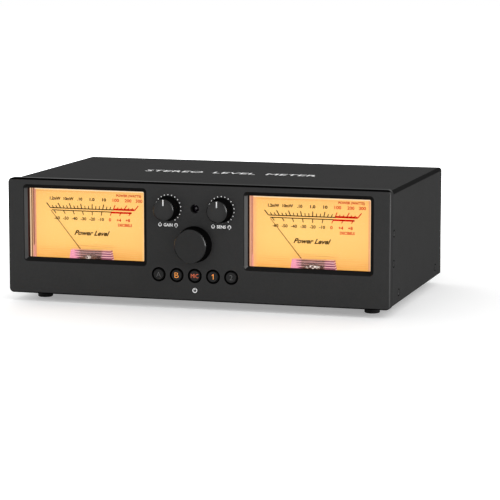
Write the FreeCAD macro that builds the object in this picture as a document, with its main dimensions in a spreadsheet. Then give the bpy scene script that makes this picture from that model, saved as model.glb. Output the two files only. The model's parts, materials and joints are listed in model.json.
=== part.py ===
import FreeCAD, Part
import math
import os
import re
import Sketcher

# Stereo level meter in a desktop case: two large moving-coil dials behind glass, a selector
# knob, two small knobs and five push buttons.
# Millimetres. X to the right seen from the front, Y to the back, Z up. The origin is on the
# surface that the feet stand on, under the middle of the whole object.
# Sub-parts are drawn in a frame of their own whose y = 0 is the panel's face, and most have
# z = 0 at the panel's lower edge. Placement then sets each one in the case.

SIZES = {
    # front panel
    "panel_wide": 300.0, "panel_high": 88.5, "panel_thick": 8.0,
    "panel_corner": 3.5, "panel_edge": 1.5,
    # case behind it
    "case_deep": 178.0, "case_gap": 0.2, "cover_inset": 0.3, "cover_drop": 1.5,
    "cover_thick": 2.0, "cover_bend": 2.4, "floor_up": 2.0, "floor_thick": 1.5,
    "flange_high": 13.0, "flange_gap": 0.2, "back_thick": 1.5, "back_flange": 12.0,
    "vent_wide": 3.0, "vent_long": 34.0, "vent_pitch": 9.0, "vent_first": 30.0,
    "vent_y": 112.0, "vent_round": 1.49,
    # gaps: between sheets, between parts that touch, and round screws and bushes
    "sheet_gap": 0.1, "touch_gap": 0.05, "hole_gap": 0.1, "wide_gap": 0.15,
    # bars that join the panel to the cover
    "bar_wide": 5.2, "bar_deep": 12.0, "bar_low": 24.0, "bar_high": 64.0, "bar_screw": 3.4,
    # feet
    "foot_x": 130.4, "foot_front": 25.9, "foot_back": 152.0, "foot_drop": 6.3,
    "foot_radius": 6.0, "foot_recess": 3.4, "foot_web": 3.0, "foot_bore": 1.7,
    "foot_edge": 0.6, "foot_taper": 0.15,
    # windows and lenses
    "meter_x": 87.7, "window_z": 54.33, "glass_wide": 93.2, "glass_high": 53.0,
    "bevel": 3.1, "bevel_corner": 3.0, "glass_corner": 1.0,
    "lens_front": 4.6, "lens_thick": 1.9, "lens_lap": 1.8, "lens_corner": 2.0,
    "pocket_gap": 0.2,
    # meter housing
    "housing_wall": 1.6, "housing_low": 11.0, "housing_front": 8.1, "housing_back": 40.0,
    "ledge": 2.0, "ear_x": 51.6, "ear_low": 19.0, "ear_high": 76.0, "ear_half": 3.4,
    "ear_thick": 2.0, "ear_root": 1.0, "ear_trim": 0.4, "post_radius": 2.2, "post_root": 0.5,
    "tiny_hole": 0.85, "post_bottom": 36.0, "slot_x": 3.4, "slot_high": -6.4, "slot_low": -9.4,
    "wire_x": 24.0, "wire_z": 16.0, "wire_hole": 1.8, "dial_gap": 0.2,
    "dial_front": 16.0, "dial_thick": 0.7, "dial_low": 25.0, "dial_arch": 10.6,
    "lamp_low": 50.0, "lamp_high": 58.0, "lamp_half": 40.0, "lamp_pitch": 16.0,
    "chip_half": 1.75, "chip_low": 2.6, "chip_high": 5.4, "chip_deep": 1.4,
    # movement, about its pivot
    "pivot_z": 22.6, "sweep_half": 39.2, "needle_long": 52.0, "needle_front": 14.35,
    "needle_thick": 0.3, "needle_root": 0.65, "needle_tip": 0.35, "tail_long": 8.0,
    "hub_radius": 1.6, "hub_half": 0.55, "tail_half": 0.5, "weight_start": 0.8,
    "weight_end": 3.0, "weight_radius": 0.6, "staff": 0.45, "staff_gap": 0.06, "staff_front": 12.3,
    "staff_back": 29.45, "core_front": 18.3, "core_back": 26.7, "core_radius": 5.2,
    "yoke_front": 18.0, "yoke_back": 27.0, "yoke_inner": 7.6, "yoke_outer": 9.5,
    "coil_front": 17.3, "coil_back": 27.7, "coil_inner": 5.9, "coil_outer": 6.8,
    "coil_end": 0.7, "coil_half": 1.5, "staff_point": 0.2, "staff_cone": 0.3,
    "staff_clear": 0.02, "spring_front": 15.6, "spring_rear": 28.3, "spring_inner": 1.0,
    "spring_outer": 3.6, "spring_strip": 0.12, "spring_high": 0.4,
    "bridge_front": 10.9, "bridge_back": 29.6, "bridge_thick": 1.2, "bridge_half": 2.0,
    "bridge_end": 1.6, "post_x": 8.6, "post_thin": 0.95, "boss_x": 13.0, "boss_end": 2.4,
    "finger_half": 1.0, "finger_front": 0.4, "finger_gap": 0.1,
    "jewel": 1.2, "jewel_gap": 0.03, "jewel_proud": 0.6, "jewel_cup": 0.15,
    "jewel_bottom": 0.35, "jewel_rim": 0.25, "jewel_back": 32.2, "jewel_slot": 1.3,
    "blade_half": 0.2, "blade_deep": 0.5,
    "arm_front": 31.05, "arm_thick": 0.5, "arm_long": 8.5, "arm_half": 0.8,
    "arm_hub": 2.4, "arm_gap": 0.06, "arm_proud": 1.0, "arm_tang": 1.0,
    # clear cover over the movement
    "shell_front": 9.0, "shell_back": 13.6, "shell_wall": 1.2, "shell_top": 33.9,
    "shell_top_half": 16.0, "shell_low_half": 19.5, "shell_shift": 1.4,
    "rib_pitch": 1.8, "rib_high": 0.9, "rib_deep": 0.5, "rib_first": 1.2,
    # knobs, shafts and their bodies
    "main_z": 43.1, "main_face": 12.45, "main_base": 13.7, "main_proud": 12.0,
    "main_cavity": 9.0,
    "small_x": 20.85, "small_z": 69.5, "small_face": 8.0, "small_base": 9.4,
    "small_proud": 12.0, "small_cavity": 6.4,
    "knob_gap": 0.8, "knob_edge": 0.7, "knob_floor": 3.6, "knob_top": 2.4,
    "boss_half": 2.6, "boss_high": 0.4, "groove_half": 0.5, "groove_deep": 0.3,
    "groove_long": 5.0,
    "shaft": 3.0, "shaft_edge": 0.4, "shaft_tip": 2.6, "flat": 2.0, "flat_end": 4.2,
    "flat_reach": 4.0, "pot_bush": 3.5, "encoder_bush": 4.5, "bush_proud": 2.4,
    "socket_front": 3.0, "socket_radius": 9.0, "pot_radius": 8.2, "pot_back": 11.5,
    "pot_lid": 1.2, "pot_front": 4.6, "pot_cavity": 7.2, "rotor": 6.0,
    "rotor_front": 6.0, "rotor_back": 7.2, "tail_radius": 1.5, "shaft_end": 8.2,
    "pin_half": 0.5, "pin_low": -6.6, "pin_high": -6.0, "pin_pitch": 2.5,
    "nut_thick": 1.9, "pot_nut": 10.0, "encoder_nut": 12.0,
    # push buttons
    "button_z": 19.2, "button_pitch": 14.25, "button_radius": 4.3, "button_proud": 0.4,
    "button_edge": 0.4,
    "button_flange": 5.2, "flange_front": 6.4, "flange_back": 7.2, "stem": 1.75,
    "stem_end": 11.0, "bezel_inner": 4.45, "bezel_outer": 5.45, "bezel_proud": 0.15,
    "bezel_back": 6.1, "bezel_slope": 0.3, "bezel_in": 0.1, "bore": 5.5,
    "switch_front": 10.0, "switch_half": 3.0, "switch_floor": 0.7, "stem_gap": 0.25,
    # receiver and microphone
    "sensor_z": 69.7, "sensor_radius": 3.4, "eye_front": 5.4, "eye_radius": 2.4,
    "eye_back": 9.0, "eye_half": 2.8, "eye_high": 3.5, "hollow_half": 4.0,
    "hollow_front": 4.4, "lead_half": 0.3, "eye_lead": 2.0, "eye_lead_low": -2.5,
    "eye_lead_high": -1.9, "capsule_x": 7.2, "capsule_radius": 3.0, "capsule_front": 5.6,
    "capsule_back": 8.4, "capsule_port": 1.2, "capsule_rim": 0.3, "capsule_lead": 1.2,
    # boards
    "board_front": 13.0, "board_thick": 1.6, "board_half": 32.5, "board_low": 7.0,
    "board_high": 80.5, "plug_half": 12.5, "plug_low": 9.0, "plug_high": 14.0,
    "plug_deep": 5.8, "main_half": 118.0, "main_front": 60.0, "main_back": 166.0,
    "chip_x": 55.0, "chip_step": 25.0, "chip_wide": 5.0, "chip_front": 84.0,
    "chip_back": 91.0, "chip_tall": 3.5, "can_x": 75.0, "can_step": 20.0, "can_y": 110.0,
    "can_radius": 6.3, "can_high": 20.0, "row_left": -45.0, "row_right": -20.0,
    "row_front": 62.0, "row_back": 67.0, "row_high": 6.0, "relay_x": 22.0,
    "relay_half": 7.7, "relay_front": 128.0, "relay_back": 147.0, "relay_gap": 0.02,
    "relay_high": 15.5,
    "spacer_high": 6.0, "spacer_x": 110.0, "spacer_front": 68.0, "spacer_back": 158.0,
    # screws
    "pan_head": 2.8, "pan_high": 2.0, "pan_side": 1.2, "pan_round": 0.7, "pan_shank": 1.45,
    "pan_long": 3.0, "cross_long": 1.6, "cross_half": 0.4, "cross_deep": 1.0,
    "small_head": 2.25, "small_high": 1.8, "small_side": 1.3, "small_round": 0.5,
    "small_shank": 1.15, "small_long": 6.0, "thread_front": 3.5, "slit_half": 1.4,
    "slit_thin": 0.25, "slit_floor": 0.8, "side_front": 12.4, "side_upper": 55.4,
    "side_lower": 33.0, "flange_screw_front": 29.4, "flange_screw_back": 157.5,
    "flange_screw_z": 9.2, "cone_head": 2.9, "cone_high": 1.5, "cone_land": 0.15,
    "cone_long": 6.4, "hex_deep": 1.2, "hex_across": 2.0, "foot_head": 2.2,
    "foot_head_high": 2.0, "foot_head_side": 1.4, "foot_shank": 1.5, "foot_screw_top": 14.0,
    "foot_hole": 1.6, "foot_nut_high": 2.4, "nut_across": 5.5, "nut_hole": 1.55,
    "back_screw_outer": 125.0, "back_screw_inner": 42.0, "back_screw_in": 8.0,
    "tiny_head": 1.5, "tiny_high": 1.0, "tiny_round": 0.2, "tiny_side": 0.7,
    "tiny_shank": 0.75, "tiny_long": 5.0,
    # sockets in the back
    "jack_proud": 9.0, "jack_barrel": 4.15, "jack_inner": 3.45, "jack_flange": 6.0,
    "flange_side": 1.0, "flange_top": 1.3, "jack_edge": 0.3, "jack_lip": 0.4,
    "jack_body": 4.4, "jack_back": -8.0, "jack_pitch": 25.0, "jack_upper": 60.0,
    "jack_lower": 41.0, "jack_first": -85.0, "jack_nut": 11.0, "jack_nut_high": 2.0,
    "contact": 1.6, "contact_wall": 0.3, "contact_back": -10.0, "contact_in": 1.2,
    "insulator_back": -9.0, "insulator_in": 1.0,
    "power_x": 100.0, "power_z": 41.0, "power_body": 5.5, "power_back": -14.0,
    "power_rim": 7.2, "power_proud": 1.8, "power_edge": 0.4, "power_hole": 2.95,
    "power_floor": -9.5, "power_pin": 1.05, "pin_tip": 0.6, "power_lift": 0.02,
    "power_nut": 14.0, "power_nut_high": 2.5, "power_nut_bore": 5.2,
}

Vector = FreeCAD.Vector
METERS = (("left", "-meter_x"), ("right", "meter_x"))
BUTTONS = ("a", "b", "mic", "one", "two")
VENTS = 7
RIBS = 11
LAMPS = 5
SPRING_TURNS = 4
NEAR = 0.01
PAST = 1
NORMALS = {"XZ_Plane": -1, "XY_Plane": 1, "YZ_Plane": 1}

# The middle of the object's depth is the origin, so the face stands this far forward.
FACE_Y = "(main_proud - case_deep - jack_proud) / 2"
LIFT = "foot_drop"
COVER_HALF = "(panel_wide / 2 - cover_inset)"
COVER_INNER = "(panel_wide / 2 - cover_inset - cover_thick)"
COVER_TOP = "(panel_high - cover_drop)"
COVER_FRONT = "(panel_thick + case_gap)"
FLOOR_TOP = "(floor_up + floor_thick)"
LENS_HALF = "(glass_wide / 2 + lens_lap)"
LENS_LOW = "(window_z - glass_high / 2 - lens_lap)"
LENS_HIGH = "(window_z + glass_high / 2 + lens_lap)"
HOUSING_INNER = "(glass_wide / 2 + lens_lap - housing_wall)"
BOARD_LOW = "(floor_up + floor_thick + spacer_high)"
BOARD_TOP = "(floor_up + floor_thick + spacer_high + board_thick)"
BACK_FACE = "(case_deep - case_gap)"
BOARD_FACE = "(board_front - touch_gap)"

doc = FreeCAD.newDocument("level_meter")
sheet = doc.addObject("Spreadsheet::Sheet", "dims")
pieces = []


def fill_sheet():
    """Write each driving size to the sheet, its name beside it."""
    for row, (name, size) in enumerate(SIZES.items(), start=1):
        sheet.set(f"A{row}", name)
        sheet.set(f"B{row}", str(size))
        sheet.setAlias(f"B{row}", name)
    doc.recompute()


def full(expression):
    """Point every size's name in an expression at the sheet."""
    def cell(match):
        word = match.group()
        return "dims." + word if word in SIZES else word
    return re.sub(r"[a-z_]+", cell, str(expression))


def value(expression):
    return float(sheet.evalExpression(full(expression)))


def place(item, x="0", y=FACE_Y, z=LIFT):
    """Set an object in the case, its place tied to the sheet."""
    for axis, expression in zip("xyz", (x, y, z)):
        item.setExpression("Placement.Base." + axis, full(expression))


def tie_point(sketch, curve, end, x, y):
    """Hold one point of a sketch at two expressions."""
    for kind, expression in (("DistanceX", x), ("DistanceY", y)):
        rule = Sketcher.Constraint(kind, -1, 1, curve, end, value(expression))
        index = sketch.addConstraint(rule)
        sketch.setExpression(f"Constraints[{index}]", full(expression))


def tie_radius(sketch, curve, radius):
    index = sketch.addConstraint(Sketcher.Constraint("Radius", curve, value(radius)))
    sketch.setExpression(f"Constraints[{index}]", full(radius))


def polygon(*corners):
    """An outline of straight lines between corners."""
    def draw(sketch):
        spots = [Vector(value(x), value(y), 0) for x, y in corners]
        first = sketch.GeometryCount
        count = len(spots)
        for index in range(count):
            line = Part.LineSegment(spots[index], spots[(index + 1) % count])
            sketch.addGeometry(line, False)
        for index in range(count):
            after = first + (index + 1) % count
            sketch.addConstraint(Sketcher.Constraint("Coincident", first + index, 2, after, 1))
        for index, (x, y) in enumerate(corners):
            tie_point(sketch, first + index, 1, x, y)
    return draw


def rectangle(left, low, right, high):
    return polygon((left, low), (right, low), (right, high), (left, high))


def hexagon(x, y, across):
    """Two of its six corners point up and down."""
    side = f"({across}) / (2 * sqrt(3))"
    half = f"({across}) / 2"
    return polygon(
        (f"{x} + {half}", f"{y} - {side}"), (f"{x} + {half}", f"{y} + {side}"),
        (x, f"{y} + 2 * {side}"), (f"{x} - {half}", f"{y} + {side}"),
        (f"{x} - {half}", f"{y} - {side}"), (x, f"{y} - 2 * {side}"))


def disc(x, y, radius):
    def draw(sketch):
        centre = Vector(value(x), value(y), 0)
        circle = Part.Circle(centre, Vector(0, 0, 1), value(radius))
        curve = sketch.addGeometry(circle, False)
        tie_point(sketch, curve, 3, x, y)
        tie_radius(sketch, curve, radius)
    return draw


def rounded(left, low, right, high, radius):
    """A rectangle whose corners are quarter circles."""
    corners = (
        (right, high, -1, -1, 0), (left, high, 1, -1, 90),
        (left, low, 1, 1, 180), (right, low, -1, 1, 270))

    def draw(sketch):
        first = sketch.GeometryCount
        size = value(radius)
        ends = []
        for x, y, inward_x, inward_y, angle in corners:
            centre = Vector(value(x) + inward_x * size, value(y) + inward_y * size, 0)
            circle = Part.Circle(centre, Vector(0, 0, 1), size)
            start = math.radians(angle)
            sketch.addGeometry(Part.ArcOfCircle(circle, start, start + math.pi / 2), False)
            beside = (x, f"{y} + ({inward_y}) * {radius}")
            above = (f"{x} + ({inward_x}) * {radius}", y)
            ends.append((beside, above) if angle in (0, 180) else (above, beside))
        for index, (start, end) in enumerate(ends):
            tie_point(sketch, first + index, 1, *start)
            tie_point(sketch, first + index, 2, *end)
            tie_radius(sketch, first + index, radius)
        for index in range(4):
            after = (index + 1) % 4
            here = [Vector(value(x), value(y), 0) for x, y in (ends[index][1], ends[after][0])]
            line = sketch.addGeometry(Part.LineSegment(*here), False)
            join = Sketcher.Constraint("Coincident", first + index, 2, line, 1)
            sketch.addConstraint(join)
            join = Sketcher.Constraint("Coincident", line, 2, first + after, 1)
            sketch.addConstraint(join)
    return draw


class Piece:
    """A body built from features, drawn in its own frame."""

    def __init__(self, label, keep=True):
        self.body = doc.addObject("PartDesign::Body", label)
        self.body.Label = label
        self.body.AllowCompound = True
        if keep:
            pieces.append(self.body)

    def sketch(self, plane, at, *outlines, shift=("0", "0")):
        """A sketch on one of the body's own planes, moved to a height over it."""
        base = next(f for f in self.body.Origin.OriginFeatures if f.Role == plane)
        sketch = self.body.newObject("Sketcher::SketchObject", self.body.Label + "_sketch")
        sketch.AttachmentSupport = (base, "")
        sketch.MapMode = "FlatFace"
        offset = (*shift, f"{NORMALS[plane]} * ({at})")
        for axis, expression in zip("xyz", offset):
            sketch.setExpression("AttachmentOffset.Base." + axis, full(expression))
        for outline in outlines:
            outline(sketch)
        return sketch

    def pad(self, plane, start, end, *outlines):
        """Material from one height over the plane to another."""
        feature = self.body.newObject("PartDesign::Pad", self.body.Label + "_pad")
        feature.Profile = self.sketch(plane, start, *outlines)
        feature.setExpression("Length", full(f"({end}) - ({start})"))
        feature.Reversed = NORMALS[plane] < 0

    def cut(self, plane, start, end, *outlines):
        """A pocket from one height over the plane to another."""
        feature = self.body.newObject("PartDesign::Pocket", self.body.Label + "_pocket")
        feature.Profile = self.sketch(plane, start, *outlines)
        feature.setExpression("Length", full(f"({end}) - ({start})"))
        feature.Reversed = NORMALS[plane] > 0

    def turn(self, plane, axis, *outlines, at="0", shift=("0", "0"), remove=False):
        """A turned form about the sketch's own H_Axis or V_Axis."""
        kind = "PartDesign::Groove" if remove else "PartDesign::Revolution"
        feature = self.body.newObject(kind, self.body.Label + "_turn")
        sketch = self.sketch(plane, at, *outlines, shift=shift)
        feature.Profile = sketch
        feature.ReferenceAxis = (sketch, [axis])
        feature.Angle = 360

    def round_edges(self, size, pick):
        """Round the edges of the form so far that a test picks."""
        doc.recompute()
        tip = self.body.Tip
        names = [f"Edge{i}" for i, edge in enumerate(tip.Shape.Edges, start=1) if pick(edge)]
        feature = self.body.newObject("PartDesign::Fillet", self.body.Label + "_round")
        feature.Base = (tip, names)
        feature.setExpression("Radius", full(size))


def group(label, copies):
    """Several copies of one pattern piece, as one node."""
    links = []
    for pattern, spot, turned in copies:
        link = doc.addObject("App::Link", label + "_copy")
        link.LinkedObject = pattern
        link.Placement = FreeCAD.Placement(Vector(), FreeCAD.Rotation(Vector(0, 0, 1), turned))
        place(link, *spot)
        links.append(link)
    compound = doc.addObject("Part::Compound", label)
    compound.Label = label
    compound.Links = links
    place(compound)
    pieces.append(compound)


def runs_along_y(edge):
    box = edge.BoundBox
    return box.YLength > PAST and box.XLength < NEAR and box.ZLength < NEAR


# ---- case ----------------------------------------------------------------------------

def screw_spots():
    """Where the small screws enter the panel's back: x, z."""
    spots = []
    for _, middle in METERS:
        for side in (-1, 1):
            for height in ("ear_low", "ear_high"):
                spots.append((f"{middle} + ({side}) * ear_x", height))
    for side in (-1, 1):
        for height in ("bar_low + bar_screw", "bar_high - bar_screw"):
            spots.append((f"({side}) * ({COVER_INNER} - bar_wide / 2)", height))
    return spots


def front_panel():
    """The thick plate with two bevelled windows and bores for all the controls."""
    piece = Piece("front_panel")
    outline = rounded("-panel_wide / 2", "0", "panel_wide / 2", "panel_high", "panel_corner")
    piece.pad("XZ_Plane", "0", "panel_thick", outline)
    piece.round_edges("panel_edge", lambda edge: edge.BoundBox.YMax < NEAR)
    for _, middle in METERS:
        half = "glass_wide / 2"
        tall = "glass_high / 2"
        wide = f"({half} + bevel)"
        high = f"({tall} + bevel)"
        mouth = rounded(f"{middle} - {wide}", f"window_z - {high}",
                        f"{middle} + {wide}", f"window_z + {high}", "bevel_corner")
        throat = rounded(f"{middle} - {half}", f"window_z - {tall}",
                         f"{middle} + {half}", f"window_z + {tall}", "glass_corner")
        loft = piece.body.newObject("PartDesign::SubtractiveLoft", "window_bevel")
        loft.Profile = piece.sketch("XZ_Plane", "0", mouth)
        loft.Sections = [piece.sketch("XZ_Plane", "bevel", throat)]
        piece.cut("XZ_Plane", "bevel", "panel_thick", throat)
        seat = rectangle(
            f"{middle} - {LENS_HALF} - pocket_gap", f"{LENS_LOW} - pocket_gap",
            f"{middle} + {LENS_HALF} + pocket_gap", f"{LENS_HIGH} + pocket_gap")
        piece.cut("XZ_Plane", "lens_front - sheet_gap", "panel_thick", seat)
    bores = [
        disc("-small_x", "small_z", "pot_bush + hole_gap"),
        disc("small_x", "small_z", "pot_bush + hole_gap"),
        disc("0", "main_z", "encoder_bush + hole_gap"),
        disc("0", "sensor_z", "sensor_radius")]
    for index in range(len(BUTTONS)):
        bores.append(disc(f"({index - 2}) * button_pitch", "button_z", "bore"))
    piece.cut("XZ_Plane", "0", "panel_thick", *bores)
    sockets = [disc(x, z, "socket_radius") for x, z in
               (("-small_x", "small_z"), ("small_x", "small_z"), ("0", "main_z"))]
    piece.cut("XZ_Plane", "socket_front", "panel_thick", *sockets)
    hollow = rectangle("-sensor_radius", "sensor_z - hollow_half",
                       "capsule_x + sensor_radius", "sensor_z + hollow_half")
    piece.cut("XZ_Plane", "hollow_front", "panel_thick", hollow)
    threads = [disc(x, z, "small_shank + hole_gap") for x, z in screw_spots()]
    piece.cut("XZ_Plane", "thread_front", "panel_thick", *threads)
    place(piece.body)


def side_bars():
    """Two bars behind the panel's ends that carry the cover's front screws."""
    piece = Piece("side_bars")
    front = "panel_thick + touch_gap"
    back = "panel_thick + bar_deep"
    inner = f"({COVER_INNER} - sheet_gap - bar_wide)"
    outer = f"({COVER_INNER} - sheet_gap)"
    piece.pad("XZ_Plane", front, back,
              rectangle(inner, "bar_low", outer, "bar_high"),
              rectangle(f"-{outer}", "bar_low", f"-{inner}", "bar_high"))
    spots = screw_spots()[-4:]
    piece.cut("XZ_Plane", front, back, *[disc(x, z, "small_shank + hole_gap") for x, z in spots])
    piece.cut("XZ_Plane", "housing_front + ear_thick", back,
              *[disc(x, z, "small_head + wide_gap") for x, z in spots])
    piece.cut("YZ_Plane", "-panel_wide / 2", "panel_wide / 2",
              disc("side_front", "side_upper", "pan_shank + hole_gap"),
              disc("side_front", "side_lower", "pan_shank + hole_gap"))
    place(piece.body)


def panel_screws():
    """Small pan-head screws that enter the panel from behind."""
    pattern = Piece("small_screw", keep=False)
    pattern.turn("XY_Plane", "V_Axis", polygon(
        ("0", "-small_long"), ("small_shank", "-small_long"), ("small_shank", "0"),
        ("small_head", "0"), ("small_head", "small_side"),
        ("small_head - small_round", "small_high"), ("0", "small_high")))
    pattern.cut("XZ_Plane", "slit_floor", f"small_high + {PAST}",
                rectangle("-slit_half", "-slit_thin", "slit_half", "slit_thin"))
    copies = [(pattern.body, (x, "housing_front + ear_thick", z), 0) for x, z in screw_spots()]
    group("panel_screws", copies)


def side_screw_spots():
    """Where screws hold the cover's sides: y, z."""
    return (("side_front", "side_upper"), ("side_front", "side_lower"),
            ("flange_screw_front", "flange_screw_z"), ("flange_screw_back", "flange_screw_z"))


def top_cover():
    """One sheet folded down both sides of the case."""
    piece = Piece("top_cover")
    piece.pad("XZ_Plane", COVER_FRONT, "case_deep", polygon(
        (f"-{COVER_HALF}", "floor_up"), (f"-{COVER_HALF}", COVER_TOP),
        (COVER_HALF, COVER_TOP), (COVER_HALF, "floor_up"),
        (COVER_INNER, "floor_up"), (COVER_INNER, f"{COVER_TOP} - cover_thick"),
        (f"-{COVER_INNER}", f"{COVER_TOP} - cover_thick"), (f"-{COVER_INNER}", "floor_up")))
    top = value(COVER_TOP) - NEAR
    under = value(f"{COVER_TOP} - cover_thick")
    inner = value(COVER_INNER)
    piece.round_edges("cover_bend", lambda e: runs_along_y(e) and e.BoundBox.ZMin > top)
    piece.round_edges("cover_bend - cover_thick", lambda e: runs_along_y(e)
                      and abs(e.BoundBox.ZMin - under) < NEAR
                      and abs(abs(e.BoundBox.XMin) - inner) < NEAR)
    for y, z in side_screw_spots():
        wide = "cone_head + hole_gap"
        hole = "pan_shank + wide_gap"
        out = f"({COVER_HALF} + {PAST})"
        land = f"({COVER_HALF} - cone_land)"
        throat = f"({COVER_HALF} - cone_high)"
        deep = f"({COVER_INNER} - {PAST})"
        right = polygon((deep, "0"), (out, "0"), (out, wide), (land, wide), (throat, hole),
                        (deep, hole))
        left = polygon((f"-{out}", "0"), (f"-{deep}", "0"), (f"-{deep}", hole),
                       (f"-{throat}", hole), (f"-{land}", wide), (f"-{out}", wide))
        piece.turn("XY_Plane", "H_Axis", right, left, at=z, shift=("0", y), remove=True)
    place(piece.body)


def cover_screws():
    """Flat-head screws, flush with the cover's sides."""
    pattern = Piece("cone_screw", keep=False)
    pattern.turn("XY_Plane", "H_Axis", polygon(
        ("0", "0"), ("0", "cone_head - hole_gap"), ("-cone_land", "cone_head"),
        ("-cone_high", "pan_shank"), ("-cone_long", "pan_shank"), ("-cone_long", "0")))
    pattern.cut("YZ_Plane", "-hex_deep", str(PAST), hexagon("0", "0", "hex_across"))
    copies = []
    for y, z in side_screw_spots():
        copies.append((pattern.body, (COVER_HALF, y, z), 0))
        copies.append((pattern.body, (f"-{COVER_HALF}", y, z), 180))
    group("cover_screws", copies)


def spacer_spots():
    """Where the main board stands on spacers: x, y."""
    return [(x, y) for x in ("-spacer_x", "0", "spacer_x") for y in ("spacer_front", "spacer_back")]


def back_screw_spots():
    """Where the rear panel's flange is screwed to the floor: x, y."""
    return [(x, "case_deep - back_screw_in") for x in (
        "-back_screw_outer", "-back_screw_inner", "back_screw_inner", "back_screw_outer")]


def foot_spots():
    """Where the feet stand: x, y."""
    return [(x, y) for x in ("-foot_x", "foot_x") for y in ("foot_front", "foot_back")]


def bottom_chassis():
    """The floor sheet, folded up along both sides, with vent slots."""
    piece = Piece("bottom_chassis")
    outer = f"({COVER_INNER} - sheet_gap)"
    inner = f"({COVER_INNER} - sheet_gap - floor_thick)"
    piece.pad("XZ_Plane", COVER_FRONT, BACK_FACE, polygon(
        (f"-{outer}", "floor_up"), (outer, "floor_up"), (outer, "floor_up + flange_high"),
        (inner, "floor_up + flange_high"), (inner, FLOOR_TOP), (f"-{inner}", FLOOR_TOP),
        (f"-{inner}", "floor_up + flange_high"), (f"-{outer}", "floor_up + flange_high")))
    holes = [disc(x, y, "foot_hole") for x, y in foot_spots()]
    holes += [disc(x, y, "pan_shank + hole_gap") for x, y in back_screw_spots()]
    piece.cut("XY_Plane", "floor_up", FLOOR_TOP, *holes)
    for side in (-1, 1):
        for index in range(VENTS):
            middle = f"({side}) * (vent_first + {index} * vent_pitch)"
            piece.cut("XY_Plane", "floor_up", FLOOR_TOP, rounded(
                f"{middle} - vent_wide / 2", "vent_y - vent_long / 2",
                f"{middle} + vent_wide / 2", "vent_y + vent_long / 2", "vent_round"))
    piece.cut("YZ_Plane", "-panel_wide / 2", "panel_wide / 2",
              disc("flange_screw_front", "flange_screw_z", "pan_shank + hole_gap"),
              disc("flange_screw_back", "flange_screw_z", "pan_shank + hole_gap"))
    place(piece.body)


def jack_spots():
    """The phono sockets: x, z, in two rows."""
    return [(f"jack_first + {index} * jack_pitch", z)
            for z in ("jack_upper", "jack_lower") for index in range(4)]


def rear_panel():
    """The back sheet with its foot folded forward, and the sockets' holes."""
    piece = Piece("rear_panel")
    half = f"({COVER_INNER} - sheet_gap)"
    inner = f"({BACK_FACE} - back_thick)"
    low = f"({FLOOR_TOP} + sheet_gap)"
    side = f"({COVER_INNER} - 2 * sheet_gap - floor_thick)"
    step = "floor_up + flange_high + flange_gap"
    high = f"{COVER_TOP} - cover_thick - flange_gap"
    piece.pad("XZ_Plane", inner, BACK_FACE, polygon(
        (f"-{side}", low), (side, low), (side, step), (half, step), (half, high),
        (f"-{half}", high), (f"-{half}", step), (f"-{side}", step)))
    piece.pad("XY_Plane", low, f"{low} + back_thick",
              rectangle(f"-{side}", f"{inner} - back_flange", side, inner))
    piece.cut("XY_Plane", low, f"{low} + back_thick",
              *[disc(x, y, "pan_shank + hole_gap") for x, y in back_screw_spots()])
    holes = [disc(x, z, "jack_body + hole_gap") for x, z in jack_spots()]
    piece.cut("XZ_Plane", inner, BACK_FACE, *holes,
              disc("power_x", "power_z", "power_body + hole_gap"))
    top = value(high) - NEAR
    piece.round_edges("cover_bend / 2", lambda e: runs_along_y(e) and e.BoundBox.ZMin > top)
    place(piece.body)


def feet():
    """Four round feet, each with a recess for its screw."""
    pattern = Piece("foot", keep=False)
    high = "(foot_drop + floor_up)"
    pattern.turn("XZ_Plane", "V_Axis", polygon(
        ("foot_recess", "0"), ("foot_radius - foot_taper - foot_edge", "0"),
        ("foot_radius - foot_taper", "foot_edge"), ("foot_radius", high),
        ("foot_bore", high), ("foot_bore", "foot_web"), ("foot_recess", "foot_web")))
    group("feet", [(pattern.body, (x, y, "-foot_drop"), 0) for x, y in foot_spots()])


def cross():
    """The two slots of a cross recess."""
    return (rectangle("-cross_long", "-cross_half", "cross_long", "cross_half"),
            rectangle("-cross_half", "-cross_long", "cross_half", "cross_long"))


def foot_screws():
    """The screws up through the feet, and the nuts that hold them on the floor."""
    screw = Piece("foot_screw", keep=False)
    under = "foot_web - foot_head_high"
    screw.turn("XZ_Plane", "V_Axis", polygon(
        ("0", under), ("foot_head", under), ("pan_head", "foot_web - foot_head_side"),
        ("pan_head", "foot_web"), ("foot_shank", "foot_web"), ("foot_shank", "foot_screw_top"),
        ("0", "foot_screw_top")))
    for recess in cross():
        screw.cut("XY_Plane", under, f"{under} + cross_deep", recess)
    nut = Piece("foot_nut", keep=False)
    floor = f"(foot_drop + {FLOOR_TOP})"
    nut.pad("XY_Plane", floor, f"{floor} + foot_nut_high",
            hexagon("0", "0", "nut_across"), disc("0", "0", "nut_hole"))
    copies = []
    for x, y in foot_spots():
        copies.append((screw.body, (x, y, "-foot_drop"), 0))
        copies.append((nut.body, (x, y, "-foot_drop"), 0))
    group("foot_screws", copies)


def chassis_screws():
    """Pan-head screws that hold the main board and the rear panel's flange."""
    pattern = Piece("pan_screw", keep=False)
    pattern.turn("XZ_Plane", "V_Axis", polygon(
        ("0", "-pan_long"), ("pan_shank", "-pan_long"), ("pan_shank", "0"), ("pan_head", "0"),
        ("pan_head", "pan_side"), ("pan_head - pan_round", "pan_high"), ("0", "pan_high")))
    for recess in cross():
        pattern.cut("XY_Plane", "pan_high - cross_deep", f"pan_high + {PAST}", recess)
    copies = [(pattern.body, (x, y, BOARD_TOP), 0) for x, y in spacer_spots()]
    flange_top = f"{FLOOR_TOP} + sheet_gap + back_thick"
    copies += [(pattern.body, (x, y, flange_top), 0) for x, y in back_screw_spots()]
    group("chassis_screws", copies)


# ---- the two meters ------------------------------------------------------------------

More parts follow.
